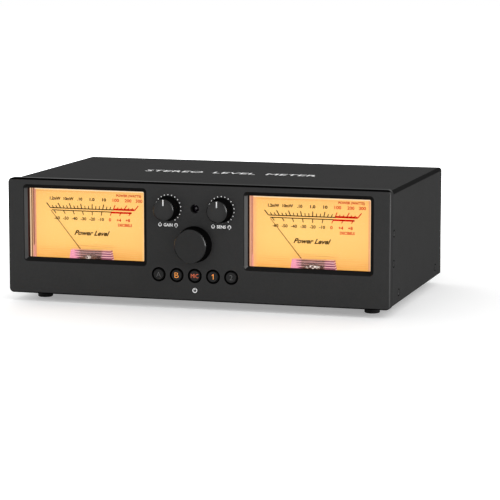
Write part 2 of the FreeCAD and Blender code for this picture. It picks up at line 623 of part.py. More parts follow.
def lens(side, middle):
    """The clear pane behind the window."""
    piece = Piece(side + "_lens")
    outline = rounded(f"-{LENS_HALF}", LENS_LOW, LENS_HALF, LENS_HIGH, "lens_corner")
    piece.pad("XZ_Plane", "lens_front", "lens_front + lens_thick", outline)
    place(piece.body, middle)


def housing(side, middle):
    """The white light box: a collar behind the pane, ledges for the dial, ears for screws."""
    piece = Piece(side + "_housing")
    top = LENS_HIGH
    inner_top = f"({LENS_HIGH} - housing_wall)"
    inner_low = "(housing_low + housing_wall)"
    dial_back = "dial_front + dial_thick"
    collar = "lens_front + lens_thick + sheet_gap"
    floor = "housing_back - housing_wall"
    piece.pad("XZ_Plane", "housing_front", "housing_back",
              rectangle(f"-{LENS_HALF}", "housing_low", LENS_HALF, top))
    piece.pad("XZ_Plane", collar, "housing_front",
              rectangle(f"-{LENS_HALF}", LENS_LOW, LENS_HALF, top))
    for end in (-1, 1):
        for height in ("ear_low", "ear_high"):
            reach = (f"({end}) * ({LENS_HALF} - ear_root)", f"({end}) * (ear_x + ear_half - ear_trim)")
            low, high = reach if end > 0 else reach[::-1]
            piece.pad("XZ_Plane", "housing_front", "housing_front + ear_thick",
                      rectangle(low, f"{height} - ear_half", high, f"{height} + ear_half"))
    piece.cut("XZ_Plane", collar, "housing_front",
              rectangle(f"-{HOUSING_INNER}", "housing_low", HOUSING_INNER, inner_top))
    piece.cut("XZ_Plane", "housing_front", dial_back,
              rectangle(f"-{HOUSING_INNER}", inner_low, HOUSING_INNER, inner_top))
    deep = f"({HOUSING_INNER} - ledge)"
    piece.cut("XZ_Plane", dial_back, floor, rectangle(f"-{deep}", inner_low, deep, inner_top))
    piece.cut("XZ_Plane", "housing_front", "housing_front + ear_thick",
              *[disc(f"({end}) * ear_x", height, "small_shank + wide_gap")
                for end in (-1, 1) for height in ("ear_low", "ear_high")])
    posts = "bridge_back + bridge_thick + touch_gap"
    piece.pad("XZ_Plane", posts, f"{floor} + post_root",
              disc("-boss_x", "pivot_z", "post_radius"), disc("boss_x", "pivot_z", "post_radius"))
    piece.cut("XZ_Plane", posts, "post_bottom",
              disc("-boss_x", "pivot_z", "tiny_hole"), disc("boss_x", "pivot_z", "tiny_hole"))
    piece.cut("XZ_Plane", floor, "housing_back",
              rectangle("-slot_x", "pivot_z + slot_low", "slot_x", "pivot_z + slot_high"),
              disc("wire_x", "wire_z", "wire_hole"))
    place(piece.body, middle)


def dial_plate(side, middle):
    """The translucent scale plate, arched at the bottom over the movement."""
    piece = Piece(side + "_dial_plate")
    half = f"({HOUSING_INNER} - dial_gap)"
    piece.pad("XZ_Plane", "dial_front", "dial_front + dial_thick - touch_gap",
              rectangle(f"-{half}", "dial_low", half, f"{LENS_HIGH} - housing_wall - dial_gap"))
    piece.cut("XZ_Plane", "dial_front", "dial_front + dial_thick",
              disc("0", "pivot_z", "dial_arch"))
    place(piece.body, middle)


def movement_cover(side, middle):
    """The clear ribbed shell in front of the movement, open behind and below."""
    piece = Piece(side + "_movement_cover")
    low = "(housing_low + housing_wall + touch_gap)"
    slope = f"(shell_low_half - shell_top_half) / (shell_top - {low})"

    def half_at(z):
        return f"(shell_low_half - ({z} - {low}) * {slope})"
    piece.pad("XZ_Plane", "shell_front", "shell_back", polygon(
        ("-shell_low_half", low), ("shell_low_half", low),
        ("shell_top_half", "shell_top"), ("-shell_top_half", "shell_top")))
    for index in range(RIBS):
        base = f"(shell_top - rib_first - {index} * rib_pitch)"
        crest = f"({base} + rib_high)"
        piece.pad("XZ_Plane", "shell_front - rib_deep", "shell_front", polygon(
            (f"-{half_at(base)}", base), (half_at(base), base),
            (half_at(crest), crest), (f"-{half_at(crest)}", crest)))
    piece.cut("XZ_Plane", "shell_front + shell_wall", "shell_back", polygon(
        ("shell_wall - shell_low_half", low), ("shell_low_half - shell_wall", low),
        ("shell_top_half - shell_wall", "shell_top - shell_wall"),
        ("shell_wall - shell_top_half", "shell_top - shell_wall")))
    place(piece.body, f"{middle} + shell_shift")


def backlight(side, middle):
    """A strip of lamps on a board inside the housing's back."""
    piece = Piece(side + "_backlight")
    back = "housing_back - housing_wall - sheet_gap"
    face = f"{back} - board_thick"
    piece.pad("XZ_Plane", face, back,
              rectangle("-lamp_half", "lamp_low", "lamp_half", "lamp_high"))
    lamps = []
    for index in range(LAMPS):
        x = f"({index} - {LAMPS // 2}) * lamp_pitch"
        lamps.append(rectangle(f"{x} - chip_half", "lamp_low + chip_low",
                               f"{x} + chip_half", "lamp_low + chip_high"))
    piece.pad("XZ_Plane", f"{face} - chip_deep", face, *lamps)
    place(piece.body, middle)


def magnet_system():
    """Both meters' iron rings and core magnets."""
    ring = Piece("yoke_ring", keep=False)
    ring.pad("XZ_Plane", "yoke_front", "yoke_back",
             disc("0", "pivot_z", "yoke_outer"), disc("0", "pivot_z", "yoke_inner"))
    core = Piece("core_magnet", keep=False)
    core.pad("XZ_Plane", "core_front", "core_back", disc("0", "pivot_z", "core_radius"))
    group("yoke_rings", [(ring.body, (x, "0", "0"), 0) for _, x in METERS])
    group("core_magnets", [(core.body, (x, "0", "0"), 0) for _, x in METERS])


def bridges(side, middle):
    """The front bridge on two posts, and the rear bridge whose fingers hold the core."""
    piece = Piece(side + "_bridges")
    low = "pivot_z - bridge_half"
    high = "pivot_z + bridge_half"
    back = "bridge_front + bridge_thick"
    piece.pad("XZ_Plane", "bridge_front", back,
              rectangle("-post_x - bridge_end", low, "post_x + bridge_end", high))
    posts = (disc("-post_x", "pivot_z", "post_thin"), disc("post_x", "pivot_z", "post_thin"))
    piece.pad("XZ_Plane", back, "yoke_front", *posts)
    piece.pad("XZ_Plane", "bridge_back", "bridge_back + bridge_thick",
              rectangle("-boss_x - boss_end", low, "boss_x + boss_end", high))
    under = "pivot_z - finger_half"
    over = "pivot_z + finger_half"
    piece.pad("XZ_Plane", "core_front + finger_front", "bridge_back",
              rectangle("-yoke_inner + finger_gap", under, "-core_radius", over),
              rectangle("core_radius", under, "yoke_inner - finger_gap", over))
    piece.pad("XZ_Plane", "yoke_back", "bridge_back", *posts)
    hole = disc("0", "pivot_z", "jewel + jewel_gap")
    piece.cut("XZ_Plane", "bridge_front", back, hole)
    piece.cut("XZ_Plane", "bridge_back", "bridge_back + bridge_thick", hole,
              disc("-boss_x", "pivot_z", "tiny_hole"), disc("boss_x", "pivot_z", "tiny_hole"))
    place(piece.body, middle)


def jewel_screws():
    """The threaded bearings at both ends of each pointer's staff."""
    front = Piece("front_jewel", keep=False)
    cup = "staff + staff_gap"
    slit = rectangle("-jewel_slot", "-blade_half", "jewel_slot", "blade_half")
    face = "bridge_front - jewel_proud"
    front.turn("XY_Plane", "V_Axis", polygon(
        ("0", face), ("jewel", face),
        ("jewel", "staff_front + jewel_rim"), (cup, "staff_front + jewel_rim"),
        (cup, "staff_front - jewel_cup"), ("0", "staff_front - jewel_bottom")))
    front.cut("XZ_Plane", face, "bridge_front", slit)
    rear = Piece("rear_jewel", keep=False)
    rear.turn("XY_Plane", "V_Axis", polygon(
        ("0", "staff_back + jewel_bottom"), (cup, "staff_back + jewel_cup"),
        (cup, "staff_back - jewel_rim"), ("jewel", "staff_back - jewel_rim"),
        ("jewel", "jewel_back"), ("0", "jewel_back")))
    rear.cut("XZ_Plane", "jewel_back - blade_deep", f"jewel_back + {PAST}", slit)
    copies = []
    for _, middle in METERS:
        copies.append((front.body, (middle, "0", "pivot_z"), 0))
        copies.append((rear.body, (middle, "0", "pivot_z"), 0))
    group("jewel_screws", copies)


def spring_shape():
    """A flat coiled strip of half circles, whose two centres take turns."""
    radius = value("spring_inner")
    step = (value("spring_outer") - radius) / (2 * SPRING_TURNS)
    edges = []
    centre = 0.0
    start = radius
    for index in range(2 * SPRING_TURNS):
        sign = 1 if index % 2 == 0 else -1
        top = Vector(centre, 0, sign * radius)
        end = Vector(centre - sign * radius, 0, 0)
        begin = Vector(start, 0, 0)
        edges.append(Part.Arc(begin, top, end).toShape())
        start = end.x
        radius += step / 2
        centre = start + sign * radius
    path = Part.Wire(edges)
    band = path.makeOffset2D(value("spring_strip / 2"), fill=True, openResult=True)
    return band.extrude(Vector(0, value("spring_high"), 0))


def hairsprings():
    """Front and rear flat springs of both meters, which also lead the current in."""
    copies = []
    for start in ("spring_front", "spring_rear"):
        spring = doc.addObject("Part::Feature", start)
        spring.Shape = spring_shape()
        for _, middle in METERS:
            copies.append((spring, (middle, start, "pivot_z"), 0))
    group("hairsprings", copies)


def movement_screws():
    """Screws that hold each rear bridge on the housing's posts."""
    pattern = Piece("tiny_screw", keep=False)
    pattern.turn("XY_Plane", "V_Axis", polygon(
        ("0", "-tiny_high"), ("tiny_head - tiny_round", "-tiny_high"),
        ("tiny_head", "-tiny_side"), ("tiny_head", "0"), ("tiny_shank", "0"),
        ("tiny_shank", "tiny_long"), ("0", "tiny_long")))
    pattern.cut("XZ_Plane", "-tiny_high", "blade_deep - tiny_high",
                rectangle(f"-tiny_head - {PAST}", "-blade_half", f"tiny_head + {PAST}", "blade_half"))
    copies = []
    for _, middle in METERS:
        for end in (-1, 1):
            spot = (f"{middle} + ({end}) * boss_x", "bridge_back", "pivot_z")
            copies.append((pattern.body, spot, 0))
    group("movement_screws", copies)


def tilt(body, middle):
    """Stand a pointer's piece on its pivot, leaning to the left stop."""
    body.Placement = FreeCAD.Placement(Vector(), FreeCAD.Rotation(Vector(0, -1, 0), 1))
    body.setExpression("Placement.Rotation.Angle", full("sweep_half"))
    place(body, middle, FACE_Y, f"{LIFT} + pivot_z")


def needle(side, middle):
    """The pointer with its hub, staff, tail and balance weight, drawn upright."""
    piece = Piece(side + "_needle")
    back = "needle_front + needle_thick"
    piece.pad("XZ_Plane", "needle_front", back, polygon(
        ("-needle_root / 2", "0"), ("needle_root / 2", "0"),
        ("needle_tip / 2", "needle_long"), ("-needle_tip / 2", "needle_long")))
    piece.pad("XZ_Plane", "needle_front", back,
              rectangle("-tail_half", "-tail_long", "tail_half", "0"))
    middle_y = "(needle_front + needle_thick / 2)"
    hub_front = f"{middle_y} - hub_half"
    hub_back = f"{middle_y} + hub_half"
    end = "coil_front - staff_clear"
    piece.turn("XY_Plane", "V_Axis", polygon(
        ("0", "staff_front"), ("staff - staff_point", "staff_front"),
        ("staff", "staff_front + staff_cone"), ("staff", hub_front), ("hub_radius", hub_front),
        ("hub_radius", hub_back), ("staff", hub_back), ("staff", end), ("0", end)))
    piece.pad("XY_Plane", "weight_start - tail_long", "weight_end - tail_long",
              disc("0", middle_y, "weight_radius"))
    tilt(piece.body, middle)


def coil(side, middle):
    """The wound frame round the core, with the rear end of the staff, drawn upright."""
    piece = Piece(side + "_coil")
    piece.pad("YZ_Plane", "-coil_half", "coil_half",
              rectangle("coil_front", "-coil_outer", "coil_back", "coil_outer"),
              rectangle("coil_front + coil_end", "-coil_inner", "coil_back - coil_end",
                        "coil_inner"))
    piece.turn("XY_Plane", "V_Axis", polygon(
        ("0", "coil_back - staff_point"), ("staff", "coil_back - staff_point"),
        ("staff", "staff_back - staff_cone"), ("staff - staff_point", "staff_back"),
        ("0", "staff_back")))
    tilt(piece.body, middle)


def zero_arm(side, middle):
    """The arm on the rear bearing that sets the needle's rest, reached from behind."""
    piece = Piece(side + "_zero_arm")
    back = "arm_front + arm_thick"
    piece.pad("XZ_Plane", "arm_front", back, disc("0", "0", "arm_hub"))
    piece.pad("XZ_Plane", "arm_front", back, rectangle("-arm_half", "-arm_long", "arm_half", "0"))
    piece.pad("XZ_Plane", "arm_front", "housing_back + arm_proud",
              rectangle("-arm_half", "-arm_long", "arm_half", "arm_tang - arm_long"))
    piece.cut("XZ_Plane", "arm_front", back, disc("0", "0", "jewel + arm_gap"))
    place(piece.body, middle, FACE_Y, f"{LIFT} + pivot_z")


# ---- controls ------------------------------------------------------------------------

def knob(label, x, z, size, pointer):
    """A tapered cap with a bevelled rim, hollow behind for the nut, on a flatted shaft."""
    piece = Piece(label)
    bore = "(shaft + touch_gap)"
    floor = f"(knob_top - {size}_proud)"
    face = f"{size}_face"
    front = f"-{size}_proud"
    cavity = f"{size}_cavity"
    piece.turn("XY_Plane", "V_Axis", polygon(
        ("0", front), (f"{face} - knob_edge", front), (face, f"{front} + knob_edge"),
        (f"{size}_base", "-knob_gap"), (cavity, "-knob_gap"), (cavity, "-knob_floor"),
        (bore, "-knob_floor"), (bore, floor), ("0", floor)))
    piece.pad("XZ_Plane", floor, "-flat_end",
              rectangle("-boss_half", "flat + touch_gap", "boss_half", "shaft + boss_high"))
    if pointer:
        piece.cut("XZ_Plane", front, f"{front} + groove_deep",
                  rectangle("-groove_half", f"{face} - groove_long",
                            "groove_half", f"{face} + {PAST}"))
    place(piece.body, x, FACE_Y, f"{LIFT} + {z}")


def shaft(label, x, z, size):
    """The turning shaft, flatted in the knob, with its rotor inside the body."""
    piece = Piece(label)
    tip = f"(shaft_tip - {size}_proud)"
    piece.turn("XY_Plane", "V_Axis", polygon(
        ("0", tip), ("shaft - shaft_edge", tip), ("shaft", f"{tip} + shaft_edge"),
        ("shaft", "rotor_front"), ("rotor", "rotor_front"), ("rotor", "rotor_back"),
        ("tail_radius", "rotor_back"), ("tail_radius", "shaft_end"), ("0", "shaft_end")))
    piece.cut("XZ_Plane", tip, "-flat_end",
              rectangle("-flat_reach", "flat", "flat_reach", "flat_reach"))
    place(piece.body, x, FACE_Y, f"{LIFT} + {z}")


def control_body(label, x, z, bush):
    """A potentiometer or encoder: threaded bush, hollow can and three pins."""
    piece = Piece(label)
    bore = "(shaft + touch_gap)"
    front = "(socket_front + sheet_gap)"
    lid = "pot_back - pot_lid"
    piece.turn("XY_Plane", "V_Axis", polygon(
        (bore, "-bush_proud"), (bush, "-bush_proud"), (bush, front), ("pot_radius", front),
        ("pot_radius", "pot_back"), ("0", "pot_back"), ("0", lid), ("pot_cavity", lid),
        ("pot_cavity", "pot_front"), (bore, "pot_front")))
    pins = [rectangle(f"{offset} - pin_half", "pin_low", f"{offset} + pin_half", "pin_high")
            for offset in ("-pin_pitch", "0", "pin_pitch")]
    piece.pad("XZ_Plane", "pot_back", BOARD_FACE, *pins)
    place(piece.body, x, FACE_Y, f"{LIFT} + {z}")


def control_nuts():
    """The hexagon nuts that clamp the three bushes, hidden in the knobs."""
    piece = Piece("control_nuts")
    outlines = []
    for x, z, across, bush in (("-small_x", "small_z", "pot_nut", "pot_bush"),
                               ("small_x", "small_z", "pot_nut", "pot_bush"),
                               ("0", "main_z", "encoder_nut", "encoder_bush")):
        outlines.append(hexagon(x, z, across))
        outlines.append(disc(x, z, f"{bush} + touch_gap"))
    piece.pad("XZ_Plane", "-nut_thick", "0", *outlines)
    place(piece.body)


def button(name, index):
    """A round cap with a retaining flange and a stem into its switch."""
    piece = Piece("button_" + name)
    piece.turn("XY_Plane", "V_Axis", polygon(
        ("0", "-button_proud"), ("button_radius - button_edge", "-button_proud"),
        ("button_radius", "button_edge - button_proud"), ("button_radius", "flange_front"),
        ("button_flange", "flange_front"), ("button_flange", "flange_back"),
        ("stem", "flange_back"), ("stem", "stem_end"), ("0", "stem_end")))
    place(piece.body, f"({index - 2}) * button_pitch", FACE_Y, f"{LIFT} + button_z")


def button_bezels():
    """The dark rings in the panel that the caps slide in."""
    pattern = Piece("bezel", keep=False)
    pattern.turn("XY_Plane", "V_Axis", polygon(
        ("bezel_inner", "bezel_in"), ("bezel_inner + bezel_slope", "-bezel_proud"),
        ("bezel_outer - bezel_slope", "-bezel_proud"), ("bezel_outer", "bezel_in"),
        ("bezel_outer", "bezel_back"), ("bezel_inner", "bezel_back")))
    group("button_bezels", [(pattern.body, (f"({index - 2}) * button_pitch", "0", "button_z"), 0)
                            for index in range(len(BUTTONS))])


def tact_switches():
    """The switches under the buttons, each bored for a stem."""
    piece = Piece("tact_switches")
    spots = [f"({index - 2}) * button_pitch" for index in range(len(BUTTONS))]
    piece.pad("XZ_Plane", "switch_front", BOARD_FACE, *[
        rectangle(f"{x} - switch_half", "button_z - switch_half",
                  f"{x} + switch_half", "button_z + switch_half") for x in spots])
    piece.cut("XZ_Plane", "switch_front", "board_front - switch_floor",
              *[disc(x, "button_z", "stem + stem_gap") for x in spots])
    place(piece.body)


def ir_receiver():
    """The remote receiver: a domed block on three leads."""
    piece = Piece("ir_receiver")
    piece.pad("XZ_Plane", "eye_front", "eye_back",
              rectangle("-eye_half", "-eye_high", "eye_half", "eye_high"))
    dome = piece.body.newObject("PartDesign::AdditiveSphere", "eye")
    dome.setExpression("Radius", full("eye_radius"))
    dome.setExpression("Placement.Base.y", full("eye_front"))
    leads = [rectangle(f"{x} - lead_half", "eye_lead_low", f"{x} + lead_half", "eye_lead_high")
             for x in ("-eye_lead", "0", "eye_lead")]
    piece.pad("XZ_Plane", "eye_back", BOARD_FACE, *leads)
    place(piece.body, "0", FACE_Y, f"{LIFT} + sensor_z")


def mic_capsule():
    """The microphone beside the receiver, in the same hollow behind the panel."""
    piece = Piece("mic_capsule")
    piece.pad("XZ_Plane", "capsule_front", "capsule_back", disc("0", "0", "capsule_radius"))
    piece.cut("XZ_Plane", "capsule_front", "capsule_front + capsule_rim",
              disc("0", "0", "capsule_port"))
    leads = [rectangle(f"{x} - lead_half", "-lead_half", f"{x} + lead_half", "lead_half")
             for x in ("-capsule_lead", "capsule_lead")]
    piece.pad("XZ_Plane", "capsule_back", BOARD_FACE, *leads)
    place(piece.body, "capsule_x", FACE_Y, f"{LIFT} + sensor_z")


# ---- boards and sockets --------------------------------------------------------------

def front_board():
    """The upright board that carries switches, knob bodies and receiver."""
    piece = Piece("front_board")
    piece.pad("XZ_Plane", "board_front", "board_front + board_thick",
              rectangle("-board_half", "board_low", "board_half", "board_high"))
    back = "board_front + board_thick"
    piece.pad("XZ_Plane", back, f"{back} + plug_deep",
              rectangle("-plug_half", "plug_low", "plug_half", "plug_high"))
    place(piece.body)


def both_sides(first, step):
    """Two places to the left of the middle and the same two to its right."""
    return [f"({side}) * ({first} + {index} * {step})" for side in (-1, 1) for index in (0, 1)]


def main_board():
    """The board on the floor, with its screw holes and the edge plug at the front."""
    piece = Piece("main_board")
    piece.pad("XY_Plane", BOARD_LOW, BOARD_TOP,
              rectangle("-main_half", "main_front", "main_half", "main_back"))
    piece.cut("XY_Plane", BOARD_LOW, BOARD_TOP,
              *[disc(x, y, "pan_shank + wide_gap") for x, y in spacer_spots()])
    chips = [rectangle(f"{x} - chip_wide", "chip_front", f"{x} + chip_wide", "chip_back")
             for x in both_sides("chip_x", "chip_step")]
    piece.pad("XY_Plane", BOARD_TOP, f"{BOARD_TOP} + chip_tall", *chips)
    cans = [disc(x, "can_y", "can_radius") for x in both_sides("can_x", "can_step")]
    piece.pad("XY_Plane", BOARD_TOP, f"{BOARD_TOP} + can_high", *cans)
    piece.pad("XY_Plane", BOARD_TOP, f"{BOARD_TOP} + row_high",
              rectangle("row_left", "row_front", "row_right", "row_back"))
    place(piece.body)


def board_spacers():
    """Hexagon spacers pressed into the floor under the main board."""
    pattern = Piece("spacer", keep=False)
    pattern.pad("XY_Plane", "0", "spacer_high", hexagon("0", "0", "nut_across"),
                disc("0", "0", "pan_shank + hole_gap"))
    group("board_spacers", [(pattern.body, (x, y, FLOOR_TOP), 0) for x, y in spacer_spots()])


def relays():
    """Four signal relays on the main board."""
    piece = Piece("relays")
    boxes = [rectangle(f"{x} - relay_half", "relay_front", f"{x} + relay_half", "relay_back")
             for x in both_sides("relay_x", "2 * relay_x")]
    piece.pad("XY_Plane", f"{BOARD_TOP} + relay_gap", f"{BOARD_TOP} + relay_high", *boxes)
    place(piece.body)


def phono_sockets():
    """Eight phono sockets: metal shells with nuts, and their coloured insulators."""
    shell = Piece("shell", keep=False)
    tip = "(jack_proud + case_gap)"
    shell.turn("XY_Plane", "V_Axis", polygon(
        ("jack_inner", "jack_back"), ("jack_body", "jack_back"), ("jack_body", "0"),
        ("jack_flange", "0"), ("jack_flange", "flange_side"),
        ("jack_flange - jack_edge", "flange_top"), ("jack_barrel", "flange_top"),
        ("jack_barrel", f"{tip} - jack_lip"), ("jack_barrel - jack_edge", tip),
        ("jack_inner", tip)))
    nut = Piece("jack_nut", keep=False)
    face = "-back_thick - touch_gap"
    nut.pad("XZ_Plane", f"{face} - jack_nut_high", face, hexagon("0", "0", "jack_nut"),
            disc("0", "0", "jack_body + touch_gap"))
    sleeve = Piece("contact_sleeve", keep=False)
    sleeve.pad("XZ_Plane", "contact_back", f"{tip} - contact_in",
               disc("0", "0", "contact + contact_wall"), disc("0", "0", "contact"))
    insulator = Piece("insulator", keep=False)
    insulator.pad("XZ_Plane", "insulator_back", f"{tip} - insulator_in",
                  disc("0", "0", "jack_inner - touch_gap"),
                  disc("0", "0", "contact + contact_wall + touch_gap"))
    metal = []
    for x, z in jack_spots():
        for pattern in (shell, nut, sleeve):
            metal.append((pattern.body, (x, BACK_FACE, z), 0))
    group("phono_shells", metal)
    spots = jack_spots()
    for name, row in (("white_insulators", spots[:4]), ("red_insulators", spots[4:])):
        group(name, [(insulator.body, (x, BACK_FACE, z), 0) for x, z in row])


def power_socket():
    """The round low-voltage inlet with its centre pin."""
    piece = Piece("power_socket")
    piece.turn("XY_Plane", "V_Axis", polygon(
        ("0", "power_back"), ("power_body", "power_back"), ("power_body", "power_lift"),
        ("power_rim", "power_lift"), ("power_rim", "power_proud - power_edge"),
        ("power_rim - power_edge", "power_proud"), ("power_hole", "power_proud"),
        ("power_hole", "power_floor"), ("power_pin", "power_floor"), ("power_pin", "0"),
        ("pin_tip", "pin_tip"), ("0", "pin_tip")))
    piece.pad("XZ_Plane", "-back_thick - power_nut_high", "-back_thick - touch_gap",
              hexagon("0", "0", "power_nut"), disc("0", "0", "power_nut_bore"))
    place(piece.body, "power_x", f"{FACE_Y} + {BACK_FACE}", f"{LIFT} + power_z")


def check(item):
    """Stop if an object failed or its shape isn't sound."""
    bad = [entry for entry in doc.Objects if {"Invalid", "Error"} & set(entry.State)]
    if bad:
        raise SystemExit("failed: " + ", ".join(entry.Name for entry in bad))
    if item.Shape.isNull() or not item.Shape.isValid() or item.Shape.Volume <= 0:
        raise SystemExit("no sound shape: " + item.Label)


def build():
    fill_sheet()
    front_panel()
    side_bars()
    panel_screws()
    top_cover()
    cover_screws()
    bottom_chassis()
    rear_panel()
    feet()
    foot_screws()
    chassis_screws()
    for side, middle in METERS:
        for make in (lens, housing, dial_plate, movement_cover, backlight, bridges,
                     needle, coil, zero_arm):
            make(side, middle)
    magnet_system()
    jewel_screws()
    hairsprings()
    movement_screws()
    knob("main_knob", "0", "main_z", "main", False)
    shaft("encoder_shaft", "0", "main_z", "main")
    control_body("encoder_body", "0", "main_z", "encoder_bush")
    for name, x in (("gain", "-small_x"), ("sens", "small_x")):
        knob(name + "_knob", x, "small_z", "small", True)
        shaft(name + "_shaft", x, "small_z", "small")
        control_body(name + "_pot", x, "small_z", "pot_bush")
    control_nuts()
    for index, name in enumerate(BUTTONS):
        button(name, index)
    button_bezels()
    tact_switches()
    ir_receiver()
    mic_capsule()
    front_board()
    main_board()
    board_spacers()
    relays()
    phono_sockets()
    power_socket()
    doc.recompute()
    for item in pieces:
        check(item)
    os.makedirs("parts", exist_ok=True)
    for item in pieces:
        item.Shape.exportStep(f"parts/{item.Label}.step")
    print(len(pieces), "sub-parts written")


build()
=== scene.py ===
import json
import math

import bmesh
import bpy
from mathutils import Matrix, Vector


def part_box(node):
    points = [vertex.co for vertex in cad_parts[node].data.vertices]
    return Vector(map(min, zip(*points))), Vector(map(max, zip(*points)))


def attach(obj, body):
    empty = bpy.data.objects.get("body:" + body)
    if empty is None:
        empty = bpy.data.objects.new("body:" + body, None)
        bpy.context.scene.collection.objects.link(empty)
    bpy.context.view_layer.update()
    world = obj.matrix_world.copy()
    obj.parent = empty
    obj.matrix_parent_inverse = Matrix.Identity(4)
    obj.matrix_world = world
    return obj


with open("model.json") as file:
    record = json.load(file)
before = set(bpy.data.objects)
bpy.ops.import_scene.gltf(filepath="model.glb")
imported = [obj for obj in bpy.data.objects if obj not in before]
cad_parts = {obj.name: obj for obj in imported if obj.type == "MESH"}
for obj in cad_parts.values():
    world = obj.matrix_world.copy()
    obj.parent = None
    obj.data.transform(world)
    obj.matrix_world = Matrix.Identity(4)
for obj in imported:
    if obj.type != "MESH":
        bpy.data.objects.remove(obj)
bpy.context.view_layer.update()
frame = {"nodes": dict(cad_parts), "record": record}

# Looks of a stereo level meter: finishes for every part, printed dials and lettering, light.
# Metres, in the frame of the parts: X right seen from the front, Y back, Z up.
# Places in print and on the panel are in millimetres, right of a middle and up from the
# panel's foot.

MM = 0.001
SIDES = ("left", "right")
BODY = {node: body for body, nodes in frame["record"]["behaviour"]["bodies"].items()
        for node in nodes}

panel_low, panel_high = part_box("front_panel")
cover_low, cover_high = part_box("top_cover")
_, back_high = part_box("rear_panel")
dial_low, dial_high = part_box("right_dial_plate")
_, housing_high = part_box("right_housing")

FACE = panel_low.y
FOOT = panel_low.z
METER_X = (dial_low.x + dial_high.x) / 2
METER = {"left": -METER_X, "right": METER_X}

# The panel's windows: the height of their middle, half of the glass each way, the bevel's depth.
WINDOW_Z = FOOT + 54.33 * MM
GLASS_HALF = 46.6 * MM
GLASS_TALL = 26.5 * MM
BEVEL = 3.1 * MM

# Controls on the panel.
LEVEL_KNOBS = {"gain": -20.85, "sens": 20.85}
LEVEL_KNOB_UP = 69.5
BUTTONS = ("a", "b", "mic", "one", "two")
BUTTON_PITCH = 14.25
BUTTON_UP = 19.2
CAP_RADIUS = 4.3 * MM

# Screws in the cover's sides: how far behind the panel's face, and how far up.
SIDE_SCREWS = ((12.4, 55.4), (12.4, 33.0), (29.4, 9.2), (157.5, 9.2))


# ---- colours and shader nodes --------------------------------------------------------

def shade(red, green=None, blue=None):
    """A colour as seen on a screen, from 0 to 255, as the shader wants it."""
    seen = (red, red if green is None else green, red if blue is None else blue)
    return (*((part / 255 / 12.92) if part < 11 else ((part / 255 + 0.055) / 1.055) ** 2.4
              for part in seen), 1.0)


def tinted(tone, factor):
    """The same colour, lighter or darker."""
    return tuple(factor * part for part in tone[:3]) + (1.0,)


class Value:
    """A shader socket that takes part in arithmetic."""

    def __init__(self, nodes, socket):
        self.nodes = nodes
        self.socket = socket

    def maths(self, operation, *numbers):
        sockets = dict(enumerate(numbers))
        return self.nodes.value("ShaderNodeMath", {"operation": operation}, sockets)

    def __add__(self, other):
        return self.maths("ADD", self, other)

    def __radd__(self, other):
        return self.maths("ADD", other, self)

    def __sub__(self, other):
        return self.maths("SUBTRACT", self, other)

    def __rsub__(self, other):
        return self.maths("SUBTRACT", other, self)

    def __mul__(self, other):
        return self.maths("MULTIPLY", self, other)

    def __rmul__(self, other):
        return self.maths("MULTIPLY", other, self)

    def __truediv__(self, other):
        return self.maths("DIVIDE", self, other)

    def __abs__(self):
        return self.maths("ABSOLUTE", self)

    def squared(self):
        return self * self

    def sign(self):
        return self.maths("SIGN", self)

    def over(self, limit):
        """What this value has above a limit, and 0 below it."""
        return self.maths("MAXIMUM", self - limit, 0.0)

    def wave(self, pitch):
        """1 and -1 in turns, smoothly, once in each pitch."""
        return self.maths("SINE", self * (2 * math.pi / pitch))

    def rise(self, low, high):
        """0 below low and 1 above high, smooth between them."""
        limits = {"Value": self, "From Min": low, "From Max": high}
        return self.nodes.value("ShaderNodeMapRange", {"interpolation_type": "SMOOTHSTEP"}, limits)

    def fall(self, low, high):
        """1 below low and 0 above high."""
        return 1 - self.rise(low, high)

    def band(self, low, high, soft):
        """1 between low and high, 0 outside them."""
        return self.rise(low - soft, low + soft) * self.fall(high - soft, high + soft)

    def ramp(self, *stops):
        """A colour for each of several heights of this value, from 0 to 1."""
        return self.nodes.value("ShaderNodeValToRGB", {"stops": stops}, {"Fac": self})


def oval(across, up, wide, tall):
    """0 in the middle of an oval and 1 on its rim, from two values measured from its middle."""
    return (across / wide).squared() + (up / tall).squared()


class Nodes:
    """A node tree, emptied, and then filled through one method."""

    def __init__(self, tree):
        self.tree = tree
        tree.nodes.clear()

    def node(self, kind, settings=None, values=None):
        """A node of any kind, its settings set first and then its sockets."""
        made = self.tree.nodes.new(kind)
        for name, setting in (settings or {}).items():
            if name == "stops":
                self.set_stops(made.color_ramp, setting)
            else:
                setattr(made, name, setting)
        for name, value in (values or {}).items():
            if isinstance(value, Value):
                self.tree.links.new(value.socket, made.inputs[name])
            else:
                made.inputs[name].default_value = value
        return made

    def value(self, kind, settings=None, values=None, output=0):
        """The value of a new node's output."""
        return Value(self, self.node(kind, settings, values).outputs[output])

    def set_stops(self, ramp, stops):
        while len(ramp.elements) < len(stops):
            ramp.elements.new(1.0)
        for element, (position, colour) in zip(ramp.elements, stops):
            element.position = position
            element.color = colour

    def seen(self):
        """1 for what the camera sees, straight or by gloss or glass, 0 for scattered light."""
        straight = self.value("ShaderNodeLightPath", output="Is Camera Ray")
        gloss = self.value("ShaderNodeLightPath", output="Is Glossy Ray")
        glass = self.value("ShaderNodeLightPath", output="Is Transmission Ray")
        return straight.maths("MINIMUM", straight + gloss + glass, 1.0)


